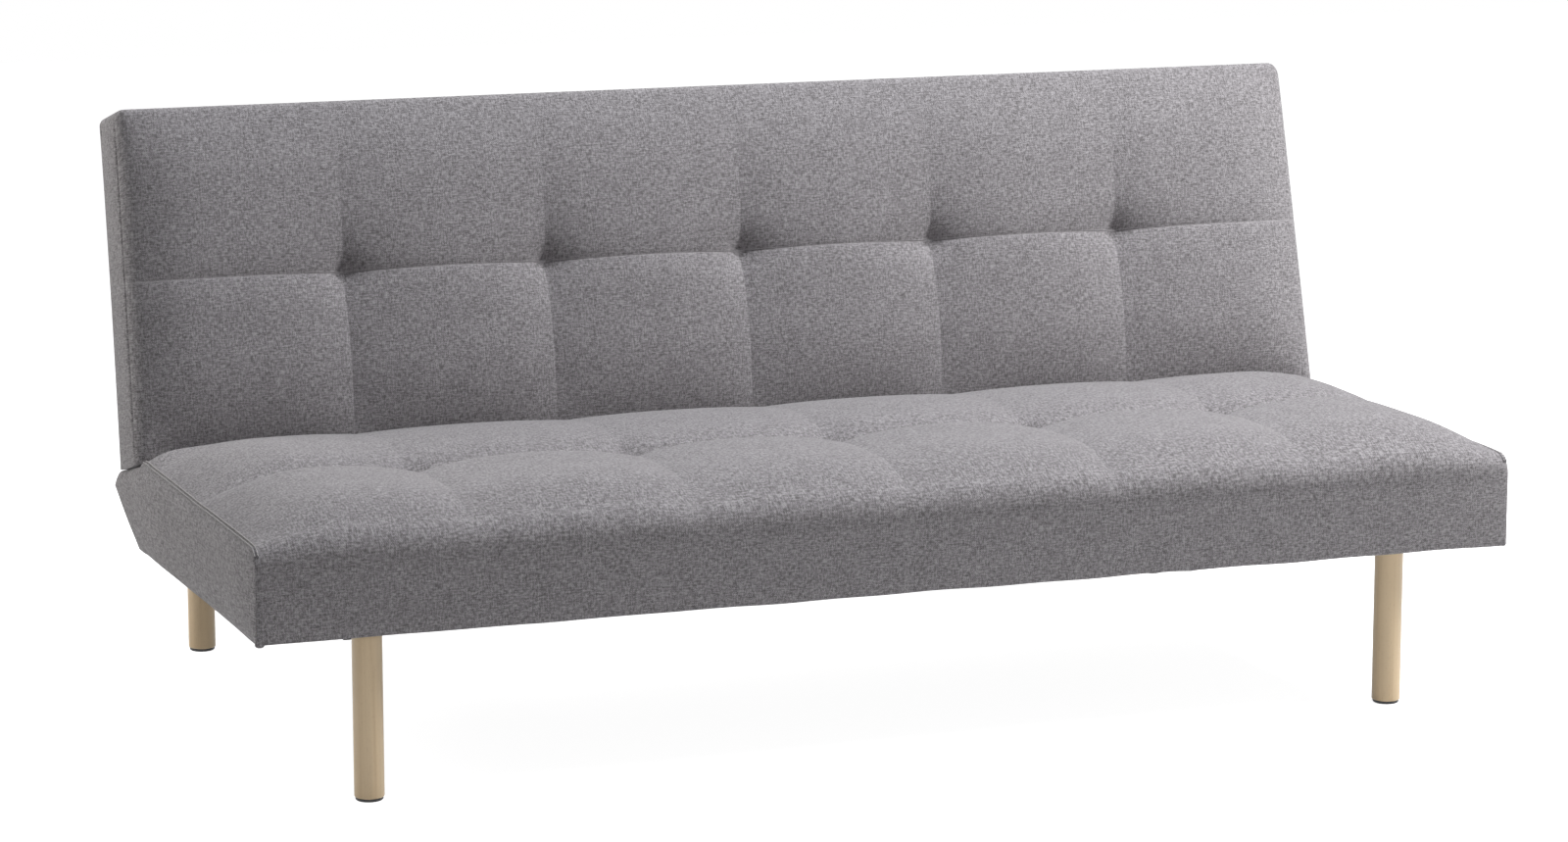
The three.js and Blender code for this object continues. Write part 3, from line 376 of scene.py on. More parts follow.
def spunbond_lining():
    """Black spunbond polypropylene: matte, with a fine pattern of bond points every 2 mm."""
    material, tree, shader = new_material("spunbond_polypropylene", 0.8)
    place = node(tree, "ShaderNodeTexCoord").outputs["Object"]
    cells = node(tree, "ShaderNodeTexVoronoi", {"Scale": 500.0, "Randomness": 0.35}, Vector=place)
    cloud = node(tree, "ShaderNodeTexNoise", {"Scale": 40.0, "Detail": 4.0}, Vector=place)
    colour = node(tree, "ShaderNodeValToRGB", {"stops": [
        (0.3, linear("#1E1E20")), (0.7, linear("#303033"))]}, Fac=cloud.outputs["Fac"])
    give_surface(tree, shader, colour.outputs["Color"], cells.outputs["Distance"], 0.5, 0.0003)
    return material


def turned_beech(look):
    """Steamed beech under clear satin lacquer: straight pale grain along the leg with short darker
    ray flecks, a soft gloss and no deep pores."""
    material, tree, shader = new_material(
        "lacquered_beech", 0.42, IOR=1.5, Coat_Weight=0.15, Coat_Roughness=0.35)
    place = node(tree, "ShaderNodeTexCoord").outputs["Object"]

    def grain(across, along, detail):
        scaled = node(tree, "ShaderNodeMapping", {"Scale": (across, across, along)}, Vector=place)
        return node(tree, "ShaderNodeTexNoise", {"Scale": 1.0, "Detail": detail, "Roughness": 0.6},
                    Vector=scaled.outputs["Vector"]).outputs["Fac"]

    def tinted(base, factors):
        return tuple(min(1.0, c * f) for c, f in zip(base[:3], factors)) + (1.0,)

    rings = grain(130.0, 3.0, 3.0)
    flecks = grain(1500.0, 170.0, 1.0)
    base = linear(look.wood)
    ground = node(tree, "ShaderNodeValToRGB", {"stops": [
        (0.3, tinted(base, (0.91, 0.88, 0.84))), (0.5, base),
        (0.7, tinted(base, (1.04, 1.05, 1.07)))]}, Fac=rings)
    fleck = node(tree, "ShaderNodeValToRGB", {"stops": [
        (0.62, (1.0, 1.0, 1.0, 1.0)), (0.72, (0.9, 0.87, 0.83, 1.0))]}, Fac=flecks)
    both = node(tree, "ShaderNodeMix",
                {"data_type": "RGBA", "blend_type": "MULTIPLY", "Factor": 1.0},
                i6=ground.outputs["Color"], i7=fleck.outputs["Color"])
    give_surface(tree, shader, both.outputs[2], rings, 0.12, 0.0002)
    return material


def speckled(name, dark, pale, roughness, scale, metallic=0.0, depth=0.0002,
             stretch=(1.0, 1.0, 1.0)):
    """A finish whose grain is one noise between two colours, with the same noise as its relief."""
    material, tree, shader = new_material(name, roughness, metallic)
    place = node(tree, "ShaderNodeTexCoord").outputs["Object"]
    scaled = node(tree, "ShaderNodeMapping", {"Scale": stretch}, Vector=place)
    noise = node(tree, "ShaderNodeTexNoise", {"Scale": scale, "Detail": 4.0, "Roughness": 0.6},
                 Vector=scaled.outputs["Vector"])
    colour = node(tree, "ShaderNodeValToRGB", {"stops": [
        (0.32, linear(dark)), (0.68, linear(pale))]}, Fac=noise.outputs["Fac"])
    give_surface(tree, shader, colour.outputs["Color"], noise.outputs["Fac"], 0.4, depth)
    return material


def shared_finishes():
    """The finishes by name, made once."""
    look = bpy.context.scene.sofa_look
    speckles = {
        # Sawn pine: pale yellow, matte, with long fibres along the width
        "sawn_pine": ("#B98F58", "#DDBD88", 0.75, 9.0, 0.0, 0.0002, (1.0, 14.0, 14.0)),
        # Open cell polyurethane foam: cream, dead matte, with fine pores
        "open_cell_foam": ("#D8CBA4", "#EFE6CB", 0.95, 420.0, 0.0, 0.0006),
        # Bright zinc plating on mild steel: blue white, brushed by tumbling
        "zinc_plated_steel": ("#8E9196", "#B9BCC0", 0.36, 220.0, 1.0),
        # Black powder coat on steel: satin with a fine orange peel
        "black_powder_coat": ("#1A1A1B", "#262628", 0.48, 700.0),
        # Moulded black rubber: matte, faintly grey where it is handled
        "moulded_rubber": ("#161616", "#262626", 0.7, 300.0),
        # Moulded black polyethylene glide: waxy, slightly scuffed
        "polyethylene_glide": ("#18181A", "#2E2E30", 0.45, 260.0),
    }
    if "heather_polyester_weave" not in bpy.data.materials:
        woven_upholstery(look)
        sewing_thread()
        spunbond_lining()
        turned_beech(look)
        for name, settings in speckles.items():
            speckled(name, *settings)
    return bpy.data.materials


# Shapes of the upholstery


def shoulder(distance, breadth, power):
    """Share of the full crown at a distance from an edge: one less the power of what is left of
    the breadth."""
    return 1 - (1 - np.clip(distance / breadth, 0, 1)) ** power


def smooth_step(value):
    """Three squares less two cubes of a value held between nought and one."""
    held = np.clip(value, 0, 1)
    return held ** 2 * (3 - 2 * held)


def spread(start, end, count, power=1.0):
    """Places from start to end, closer together near start where the power is above one."""
    return start + (end - start) * np.linspace(0, 1, count) ** power


def quilt_columns(half, sizes, extra=(SLOT_INNER, SLOT_OUTER)):
    """Places across the width, close together at each tuft's seam and at the sides, with the
    sides of the slots or whichever extra ones are given."""
    steps, crowding = 26, 1.9
    pitch, count = sizes.tuft_pitch, sizes.tuft_count
    seams = pitch * (np.arange(count) - (count - 1) / 2)
    near = spread(0, pitch / 2, steps, crowding)
    inner = np.concatenate([seam + sign * near for seam in seams for sign in (-1, 1)])
    outer = half - spread(0, half - seams[-1] - pitch / 2, steps, crowding)
    every = np.concatenate([inner, outer, -outer, np.array(extra), -np.array(extra)])
    return np.unique(np.round(every[np.abs(every) <= half], 6))


def in_slots(x):
    """Whether the middle of each step of the places across the width lies in a hinge slot."""
    middle = np.abs((x[:-1] + x[1:]) / 2)
    return (middle > SLOT_INNER) & (middle < SLOT_OUTER)


def quilting(x, across, sizes, depth, shares, row_breadth, row_power, tuft):
    """How far the quilting pulls the cover in, and how much each point lies on a sewn line. x
    is the place across the width, across the signed distance from the row of tufts, and shares
    are what the seams beyond the row, the seams before it and the row itself have of the full
    depth. The pull of a seam falls with a power of what is left of its breadth, so that each
    cell is a pillow and each seam a crease. A tuft adds a narrow round funnel and a wide one
    with four flat sides that meet along the seams, both exponentials: of the distance, and of a
    sum of the distances from the two seams. Along each seam runs a narrow groove, a Gaussian of
    the distance."""
    upper, lower, row = shares
    pillow_power = 2.3
    round_tip, square_tip, flatness = 0.003, 0.002, 0.65
    round_breadth, square_breadth = 0.015, 0.036
    round_share, square_share = 0.35, 0.65
    line_breadth, groove_breadth, groove_depth = 0.0014, 0.003, 0.0007
    pitch = sizes.tuft_pitch
    last = (sizes.tuft_count - 1) / 2
    aside = x - np.clip(np.round(x / pitch), -last, last) * pitch
    share = np.where(across > 0, upper, lower)
    valley = share * (1 - np.clip(np.abs(aside) / (pitch / 2), 0, 1)) ** pillow_power
    furrow = row * (1 - np.clip(np.abs(across) / row_breadth, 0, 1)) ** row_power
    round_way = np.sqrt(aside ** 2 + across ** 2 + round_tip ** 2) - round_tip
    square_way = (flatness * (np.sqrt(aside ** 2 + square_tip ** 2) - square_tip)
                  + np.sqrt(across ** 2 + square_tip ** 2) - square_tip)
    funnel = tuft * (round_share * np.exp(-round_way / round_breadth)
                     + square_share * np.exp(-square_way / square_breadth))
    # Mask of the painted highlight along the seams: full along the row of tufts, a fifth along the seams across it
    sewn = np.maximum(0.2 * np.exp(-(aside / line_breadth) ** 2) * share,
                      np.exp(-(across / line_breadth) ** 2))
    groove = np.maximum(0.3 * np.exp(-(aside / groove_breadth) ** 2) * share,
                        np.exp(-(across / groove_breadth) ** 2))
    pull = (depth * (1 - (1 - valley) * (1 - furrow)) + sizes.tuft_dip * funnel
            + groove_depth * groove)
    return pull, sewn


def flared(points, half, left, right):
    """Points moved outwards near the two sides, by the square of their share of the last tenth
    of a metre."""
    reach = 0.1
    x = points[..., 0]
    share = np.clip((np.abs(x) - half + reach) / reach, 0, 1.1) ** 2
    moved = points.copy()
    moved[..., 0] = x + np.where(x < 0, -left, right) * share
    return moved


def unevenness(x, y, seed):
    """Slow hand made unevenness of stuffed cloth: a sum of a few long waves with seeded phases."""
    waves, quickest, size = 7, 26, 0.00035
    rng = np.random.default_rng(seed)
    total = np.zeros(np.broadcast(x, y).shape)
    for _ in range(waves):
        along, over = rng.uniform(-quickest, quickest, 2)
        total = total + rng.uniform(0.3, 1.0) * np.sin(along * x + over * y + rng.uniform(0, 6.28))
    return total * size


class SeatShape:
    """The seat's base profile in the plane of Y and Z: front, roll, top, nose slope and nose
    arc above, and the floor line with its undercut below, with matching places along Y."""

    def __init__(self, sizes):
        self.half = SEAT_HIGH.x
        self.floor = SEAT_LOW.z
        self.top = self.floor + sizes.edge_height
        self.front = PIVOT_Y - sizes.pivot_setback - sizes.seat_depth
        self.tuft = self.front + sizes.seat_tuft_depth
        # The nose clears the backrest's foot as that turns about the hinge's axis
        foot_clearance, crease_gap, arm_ahead = 0.004, 0.0015, 0.0288
        roll, radius = sizes.front_roll, sizes.pivot_setback - foot_clearance
        nose_y = PIVOT_Y + radius * math.sin(LEAN)
        nose_z = PIVOT_Z + radius * math.cos(LEAN)
        self.bevel = nose_y - (self.top - nose_z) / math.tan(LEAN)
        self.crease = PIVOT_Y - sizes.pivot_setback - crease_gap
        self.undercut = self.front + sizes.undercut_start
        self.tip_y = PIVOT_Y + radius * math.sin(sizes.tip_angle)
        self.tip_z = PIVOT_Z + radius * math.cos(sizes.tip_angle)
        self.slot_front = PIVOT_Y - arm_ahead
        crowding, last_run = 1.8, 0.02
        turn = np.linspace(0, math.pi / 2, ROLL_ROWS)
        ahead = self.tuft - spread(0, self.tuft - self.front - roll, 46, crowding)[::-1]
        behind = np.concatenate([
            spread(self.tuft, self.bevel - last_run, 42, crowding),
            np.linspace(self.bevel - last_run, self.bevel, 9)[1:]])
        slope = np.concatenate([
            np.linspace(self.bevel, self.crease, 7),
            np.linspace(self.crease, self.undercut, 6)[1:],
            np.linspace(self.undercut, self.slot_front, 8)[1:],
            np.linspace(self.slot_front, nose_y, 8)[1:]])
        arc = np.linspace(LEAN, sizes.tip_angle, 14)
        self.y = np.concatenate([
            self.front + roll * (1 - np.cos(turn)), ahead[1:], behind[1:], slope[1:],
            (PIVOT_Y + radius * np.sin(arc))[1:]])
        self.z = np.concatenate([
            self.top - roll * (1 - np.sin(turn)), np.full(len(ahead) + len(behind) - 2, self.top),
            self.top - (slope[1:] - self.bevel) * math.tan(LEAN),
            (PIVOT_Z + radius * np.cos(arc))[1:]])
        # The padding lifts the edge a little towards the backrest
        rear_lift, lift_start, lift_run = 0.0035, 0.28, 0.27
        rearwards = smooth_step((self.y - self.front - lift_start) / lift_run)
        self.z = self.z + rear_lift * rearwards * shoulder(self.crease - self.y, 0.012, 2)
        straight = len(self.y) - ROLL_ROWS
        self.out_y = np.concatenate([-np.cos(turn), np.zeros(straight)])
        self.out_z = np.concatenate([np.sin(turn), np.ones(straight)])
        self.rise = (self.tip_z - self.floor) / (self.tip_y - self.undercut)
        self.low = self.floor + np.maximum(0, self.y - self.undercut) * self.rise

    def swell(self, sizes):
        """How far each place of the upper path swells in the middle of the width: a shoulder at
        the front and two at the crease, a steep one that leaves a dark fold before the backrest
        and a long one."""
        front_breadth, front_power, at_edge = 0.15, 3, 0.004
        depth = self.y - self.front
        behind = (0.48 * shoulder(self.crease - self.y, 0.035, 2)
                  + 0.52 * shoulder(self.crease - self.y, 0.2, 1.6))
        whole = sizes.seat_crown * shoulder(depth, front_breadth, front_power) * behind
        at_roll = sizes.seat_crown * shoulder(sizes.front_roll, front_breadth, front_power)
        rolled = at_edge + (at_roll - at_edge) * np.linspace(0, 1, ROLL_ROWS)
        return np.concatenate([rolled, whole[ROLL_ROWS:]])


def hem_wave(way):
    """How far the seat's hem hangs at a way round its edge from the middle of the front: a
    tilt, two sines, and two small Gaussian bumps where its thread is tied off."""
    tied = (0.0022 * np.exp(-((way - 0.36) / 0.005) ** 2)
            + 0.0012 * np.exp(-((way - 0.415) / 0.009) ** 2))
    tilt = 0.0011 + 0.0032 * np.clip(way, -1.1, 1.0)
    return 0.0005 * (np.sin(41 * way) + np.sin(17 * way + 1.3)) - tied - tilt


def slot_walls(path_y, path_z, in_y, in_z, x_from, x_to, depth):
    """The two sides and the end of a slot through a cover, as sheets that go in from its
    surface."""
    sheets = []
    down = np.linspace(0, depth, 4)
    y = path_y[:, None] + in_y[:, None] * down
    z = path_z[:, None] + in_z[:, None] * down
    for x, flip in ((x_from, False), (x_to, True)):
        sheets.append((together(x, y, z), together(y, z), grid_faces(*y.shape), flip))
    x = np.linspace(x_from, x_to, 4)
    end = together(x[:, None], y[0][None, :], z[0][None, :])
    sheets.append((end, end[..., [0, 2]], grid_faces(4, 4), True))
    return sheets


def seat_sheets(sizes):
    """The seat's cover. The wrap's points are its base profile moved outwards by the crown,
    which fades over a shoulder at each side, less the quilting. The side panels are ruled
    between the upper and the lower path and bulge by a fourth power of the height, and their
    weave is stretched along the depth. Where they meet the wrap, both are drawn in by an
    exponential of the distance, which leaves a furrow along the seam. The hem hangs a little
    unevenly, and the outermost tufts are sewn a little off their even spacing."""
    shape = SeatShape(sizes)
    x = quilt_columns(shape.half, sizes)

    # The wrap's base path: hem, front, top with its nose, underside of the nose, rear hem
    levels = np.linspace(0, 1, PANEL_ROWS)[:-1]
    front_z = shape.floor + (shape.z[0] - shape.floor) * levels
    under = shape.y >= shape.undercut - TINY
    back_y, back_z = shape.y[under][::-1][1:], shape.low[under][::-1][1:]
    hem_rear = np.array([[-0.004, 0.0002], [-0.026, 0.0006]])
    y = np.concatenate([shape.front + HEM_IN[::-1], np.full(len(levels), shape.front), shape.y,
                        back_y, shape.undercut + hem_rear[:, 0]])
    z = np.concatenate([shape.floor + HEM_RISE[::-1], front_z, shape.z, back_z,
                        shape.floor + hem_rear[:, 1]])
    start, count = len(HEM_IN), len(shape.y)
    first = start + len(levels)
    out_y, out_z, swell = np.zeros(len(y)), np.zeros(len(y)), np.zeros(len(y))
    out_y[start:first] = -1
    swell[start:first] = 0.004 * np.sin(levels * math.pi / 2)
    out_y[first:first + count] = shape.out_y
    out_z[first:first + count] = shape.out_z
    swell[first:first + count] = shape.swell(sizes)

    # How the crown fades towards the sides, more steeply at the crease
    inside = (shape.half - np.abs(x))[None, :]
    rearwards = smooth_step((y - shape.crease + 0.07) / 0.06)[:, None]
    at_crease = 0.7 * shoulder(inside, 0.05, 2.5) + 0.3 * shoulder(inside, 0.25, 2)
    side = (1 - rearwards) * shoulder(inside, 0.15, 2) + rearwards * at_crease

    # The crown less the quilting, with the furrow along the side seams
    furrow_breadth, deepest = 0.004, -0.006
    furrow = 0.0013 * np.clip((shape.bevel - y) / 0.012, 0, 1)
    edge = np.exp(-(shape.half - np.abs(x)) / furrow_breadth)[None, :]
    last_roll = ROLL_ROWS - 1
    quilted = np.zeros(len(y))
    quilted[first + last_roll:first + count] = 1
    quilted[first:first + last_roll] = np.linspace(0, 1, last_roll)
    share = (swell / sizes.seat_crown)[:, None]
    seam_shares, row_breadth, row_power, tuft_share = (0.4, 0.8, 0.95), 0.06, 2.2, 1.08
    pull, sewn = quilting(x[None, :], (y - shape.tuft)[:, None], sizes, sizes.seat_seam_dip,
                          seam_shares, row_breadth, row_power, tuft_share)
    pull, sewn = pull * quilted[:, None], sewn * quilted[:, None]
    slow = unevenness(x[None, :], y[:, None] + z[:, None], 7) * (swell > 0)[:, None]
    reach = side * np.maximum(swell[:, None] - pull * np.minimum(share * 1.25, 1), deepest)
    reach = reach + slow * side * share - furrow[:, None] * edge
    hang = np.zeros(len(y))
    hang[:start] = HEM_SHARE[::-1]
    placed = x + np.interp(x, (-0.76, -0.6, -0.3, 0.3, 0.6, 0.76),
                           (0, -0.011, 0, -0.002, -0.008, 0))
    points = together(
        placed[None, :] - np.sign(x)[None, :] * furrow[:, None] * edge,
        y[:, None] + out_y[:, None] * reach,
        z[:, None] + out_z[:, None] * reach + hang[:, None] * hem_wave(x)[None, :])
    uv = together(x[None, :], profile_length(y, z)[:, None])

    # The slots that the hinge arms pass through, at the rear of the wrap
    rows = np.arange(len(y) - 1)
    past_slot = (rows >= first) & (
        (y[:-1] >= shape.slot_front - TINY) | (rows >= first + count - 1))
    keep = ~(past_slot[:, None] & in_slots(x)[None, :])
    sheets = [(points, uv, grid_faces(len(y), len(x), keep), False, sewn)]
    slot_depth = 0.014
    slot_rows = np.concatenate([[False], past_slot])
    slot_rows[np.argmax(slot_rows) - 1] = True
    slot_y, slot_z = y[slot_rows], z[slot_rows]
    away = np.hypot(slot_y - PIVOT_Y, slot_z - PIVOT_Z)
    in_y, in_z = (PIVOT_Y - slot_y) / away, (PIVOT_Z - slot_z) / away
    for sign in (-1, 1):
        x_from, x_to = sorted((sign * SLOT_INNER, sign * SLOT_OUTER))
        sheets += slot_walls(slot_y, slot_z, in_y, in_z, x_from, x_to, slot_depth)

    # The side panels with their hems
    w = np.linspace(0, 1, PANEL_ROWS)[None, :]
    drawn = furrow[first:first + count]
    low_y = shape.y + drawn * np.clip(1 - (shape.y - shape.front) / 0.02, 0, 1)
    top_y, top_z = shape.y - shape.out_y * drawn, shape.z - shape.out_z * drawn
    side_y = top_y[:, None] + (low_y - top_y)[:, None] * w
    side_z = top_z[:, None] + (shape.low - top_z)[:, None] * w
    inner = 1 - (2 * w - 1) ** 4
    bulge = (0.0055 * inner * shoulder(side_y - shape.front, 0.09, 2)
             * shoulder(shape.tip_y - side_y, 0.12, 2))
    bulge = bulge + unevenness(side_y, side_z, 21) * inner
    height = (shape.z - shape.low)[:, None]
    gap = np.minimum(np.minimum(w, 1 - w) * height, np.maximum(side_y - side_y[:1], 0))
    bulge = bulge - drawn[:, None] * np.exp(-gap / furrow_breadth)
    straight = shape.y <= shape.undercut + TINY
    inward, rise, follow = (np.concatenate([[0], line]) for line in (HEM_IN, HEM_RISE, HEM_SHARE))
    for sign in (-1, 1):
        panel = together(sign * (shape.half + bulge), side_y, side_z)
        sheets.append((panel, together(side_z, side_y * 0.5), grid_faces(count, PANEL_ROWS),
                       sign > 0))
        wave = hem_wave(sign * (shape.half + low_y[straight] - shape.front))
        hem = together(
            sign * (shape.half - drawn[straight][:, None] - inward[None, :]),
            low_y[straight][:, None],
            shape.floor + rise[None, :] + follow[None, :] * wave[:, None])
        sheets.append((hem, hem[..., :2], grid_faces(int(straight.sum()), len(inward)), sign > 0))

    # The whole cover spreads a little sideways towards the rear
    spread_left, spread_right = 0.0045, 0.003
    finished = []
    for sheet in sheets:
        flare = smooth_step((sheet[0][..., 1] - shape.front - 0.2) / 0.4)
        moved = flared(sheet[0], shape.half, spread_left * flare, spread_right * flare)
        finished.append((moved,) + tuple(sheet[1:]))
    return shape, finished


def lean_to_frame(points):
    """Turns points drawn upright about the hinge's axis into the frame, where the backrest
    leans back."""
    x, y, z = points[..., 0], points[..., 1], points[..., 2]
    return np.stack([x, PIVOT_Y + y * math.cos(LEAN) + z * math.sin(LEAN),
                     PIVOT_Z - y * math.sin(LEAN) + z * math.cos(LEAN)], axis=-1)


class BackShape:
    """The backrest's base profile, upright about the hinge's axis: front with rounded edges at
    its foot and head, and the rear edge of its side panels, with matching heights."""

    def __init__(self, sizes):
        above_seat, edge = 0.002, 0.009
        rows, crowding = 44, 1.8
        self.half = BACK_HIGH.x
        self.front = PIVOT_Z - (SEAT_LOW.z + sizes.edge_height + above_seat)
        self.rear = self.front + sizes.back_thickness
        self.foot = sizes.pivot_setback
        self.head = self.foot + sizes.back_length
        self.tuft = self.foot + sizes.back_tuft_height
        turn = np.linspace(0, math.pi / 2, 7)
        low = self.tuft - spread(0, self.tuft - self.foot - edge, rows, crowding)[::-1]
        high = spread(self.tuft, self.head - edge, rows, crowding)
        flat = 2 * rows - 2
        bend = edge * (1 - np.sin(turn))
        fall = edge * (1 - np.cos(turn))
        self.y = np.concatenate([self.front + bend, np.full(flat, self.front),
                                 self.front + fall[1:]])
        self.z = np.concatenate([self.foot + fall, low[1:], high[1:], self.head - bend[1:]])

    def upward(self, z):
        """Share of the way from the row of tufts to the head."""
        return np.clip((z - self.tuft) / (self.head - self.tuft), 0, 1)


def corner_drop(x, half, less=0.0):
    """How far a rounded upper corner falls away near a side: a quarter circle, tighter on the
    left."""
    radius = np.where(x < 0, 0.012, 0.022) - less
    inside = np.minimum(half - np.abs(x), radius)
    return radius - np.sqrt(np.maximum(radius ** 2 - (radius - inside) ** 2, 0))


def corner_puckers(x, z, shape):
    """Slanting puckers at the backrest's lower corners: a wave under a Gaussian of the
    distance."""
    inset, wavelength, breadth = 0.036, 0.034, 0.024
    total = 0
    for sign, size, slant in ((-1, 0.0022, 0.9), (1, 0.0014, 1.2)):
        over, up = x * sign - (shape.half - inset), z - shape.foot - inset
        along = over * math.cos(slant) + up * math.sin(slant)
        total = total + (size * np.cos(along * 2 * math.pi / wavelength)
                         * np.exp(-(over ** 2 + up ** 2) / breadth ** 2))
    return total


def back_sheets(sizes):
    """The backrest's cover, made like the seat's: a quilted wrap from the rear edge of its foot
    over the front to the rear edge of its head, and ruled side panels. The wrap turns round the
    side edges in a quarter circle before it meets the side panel, in a seam drawn in by a
    Gaussian of the distance. The foot sags a little towards the seat, its padding pushes the
    head up, and the lower corners spread sideways."""
    shape = BackShape(sizes)
    ease, seam_depth, seam_breadth = 0.016, 0.002, 0.0018
    by_seam = tuple(shape.half - step for step in (0.00002, 0.00008, 0.0002))
    x = quilt_columns(shape.half, sizes, (SLOT_INNER, SLOT_OUTER) + by_seam)

    # The wrap's base path: rear hem, foot, front, head, rear hem
    near_edge = np.array([0, 0.008, 0.018, 0.032, 0.055])
    w = np.concatenate([near_edge, np.linspace(0.1, 0.9, 9), 1 - near_edge[::-1]])
    count, first = len(shape.y), len(w) + 1
    foot_y = shape.rear + (shape.y[0] - shape.rear) * w[:-1]
    head_y = shape.y[-1] + (shape.rear - shape.y[-1]) * w[1:]
    sag = 0.0032 * (1 - w ** 4)
    tuck = 0.0008
    y = np.concatenate([[shape.rear - tuck] * 2, foot_y, shape.y, head_y, [shape.rear - tuck] * 2])
    z = np.concatenate([
        [shape.foot + 0.022, shape.foot + 0.002], shape.foot - sag[:-1], shape.z,
        np.full(len(w) - 1, shape.head), [shape.head - 0.002, shape.head - 0.028]])

    # The crown less the quilting
    deepest = -0.005
    swell = np.zeros(len(y))
    swell[first:first + count] = sizes.back_crown * (
        shoulder(shape.z - shape.foot - 0.012, 0.13, 2.2)
        * shoulder(shape.head - shape.z, 0.15, 2.5))
    side = shoulder(shape.half - np.abs(x), 0.12, 2.4)[None, :]
    across = (z - shape.tuft)[:, None]
    fade = 0.35 + 0.65 * shoulder(shape.head - z, 0.22, 1)[:, None]
    seam_shares, row_breadth, row_power, tuft_share = (0.65 * fade, 1.2, 0.5), 0.07, 3, 1.25
    pull, sewn = quilting(x[None, :], across, sizes, sizes.seam_dip,
                          seam_shares, row_breadth, row_power, tuft_share)
    on_front = (swell > 0)[:, None]
    share = (swell / sizes.back_crown)[:, None]
    slow = unevenness(x[None, :], z[:, None], 3)
    reach = side * np.maximum(swell[:, None] - pull * np.minimum(share * 1.2, 1), deepest)
    reach = reach + slow * side * share + corner_puckers(x[None, :], z[:, None], shape) * on_front
    drop = corner_drop(x, shape.half)[None, :] * shape.upward(z)[:, None]

    def eased(depth):
        """How near the front a depth lies, and what is left of it past the rounded side edge."""
        near = np.clip(1 - depth / 0.06, 0, 1)
        return near, np.maximum(depth + ease * near - ease, 0)

    near, beyond = eased(y - shape.front)
    inside = np.clip(shape.half - np.abs(x), 0, ease)[None, :]
    set_back = (ease - np.sqrt(ease ** 2 - (ease - inside) ** 2)) * near[:, None]
    drawn = seam_depth * np.exp(
        -(2 * ease * inside + beyond[:, None] ** 2) / seam_breadth ** 2)
    points = together(x[None, :] - np.sign(x)[None, :] * drawn,
                      y[:, None] + set_back - reach, z[:, None] - drop)
    uv = together(x[None, :], profile_length(y, z)[:, None])
    slot_length = 0.0445
    past_slot = (np.arange(len(y) - 1) < first) & (y[:-1] > shape.rear - slot_length)
    keep = ~(past_slot[:, None] & in_slots(x)[None, :])
    sheets = [(points, uv, grid_faces(len(y), len(x), keep), False, sewn * on_front)]

    # The side panels with their hems
    side_y = shape.y[:, None] + (shape.rear - shape.y)[:, None] * w[None, :]
    near, beyond = eased(side_y - shape.front)
    side_y = side_y + ease * near
    at_foot = np.clip(1 - (shape.z - shape.foot) / 0.05, 0, 1)[:, None]
    side_z = shape.z[:, None] - sag[None, ::-1] * at_foot
    inner = (1 - (2 * w - 1) ** 4)[None, :]
    above, below = (shape.z - shape.foot)[:, None], (shape.head - shape.z)[:, None]
    bulge = 0.003 * inner * shoulder(above, 0.05, 2) * shoulder(below, 0.05, 2)
    bulge = bulge + unevenness(side_y * 3, side_z, 5) * inner
    bulge = bulge - seam_depth * np.exp(-(beyond / seam_breadth) ** 2)
    inward = np.array([0, 0.002, 0.022])
    behind = np.array([0, 2 * tuck, 2 * tuck])
    for sign in (-1, 1):
        corner = corner_drop(np.array([sign * shape.half]), shape.half)
        fallen_z = side_z - corner * shape.upward(shape.z)[:, None]
        panel = together(sign * (shape.half + bulge), side_y, fallen_z)
        sheets.append((panel, together(side_z, side_y * 0.6), grid_faces(count, len(w)), sign < 0))
        hem = together(sign * (shape.half - inward[None, :]), shape.rear - behind[None, :],
                       fallen_z[:, -1:])
        sheets.append((hem, hem[..., [0, 2]], grid_faces(count, len(inward)), sign < 0))

    # The lower corners spread sideways, and the padding pushes the head up
    head_lift = 0.005
    finished = []
    for sheet in sheets:
        height = sheet[0][..., 2]
        low = np.clip(1 - (height - shape.foot) / (shape.head - shape.foot), 0, 1)
        moved = flared(sheet[0], shape.half, 0.0065 * low ** 1.7 - 0.0012, 0.014 * low - 0.004)
        moved[..., 2] = height + head_lift * shape.upward(height)
        finished.append((lean_to_frame(moved),) + tuple(sheet[1:]))
    return shape, finished


# Shapes of seams and fastenings


def carried_profile(path, outward, profile):
    """A closed profile of (sideways, outwards) points carried along a path. outward gives the
    outward direction at each point of the path, and sideways is its cross product with the
    path's direction."""
    along = unit(np.gradient(path, axis=0))
    aside = unit(np.cross(along, outward))
    ring = np.concatenate([profile, profile[:1]])
    points = (path[:, None, :] + aside[:, None, :] * ring[None, :, :1]
              + outward[:, None, :] * ring[None, :, 1:])
    uv = together(run_length(ring)[None, :], run_length(path)[:, None])
    return points, uv, grid_faces(len(path), len(ring)), False


def evenly(values, step, path=None):
    """Values at an even step along a path of points, which is the values themselves unless
    given."""
    length = run_length(values if path is None else path)
    places = np.arange(step / 2, length[-1], step)
    return together(*(np.interp(places, length, column) for column in values.T))


def finely(path, count):
    """A path drawn again through its own points, with its ends kept, as a number of even steps."""
    length = run_length(path)
    places = np.linspace(0, length[-1], count)
    return together(*(np.interp(places, length, column) for column in path.T))


def strip_on(grid, x, rows, place):
    """The line on a wrap's surface at one place across the width, through the given rows."""
    column = int(np.clip(np.searchsorted(x, place), 1, len(x) - 1))
    share = (place - x[column - 1]) / (x[column] - x[column - 1])
    return grid[rows, column - 1] * (1 - share) + grid[rows, column] * share


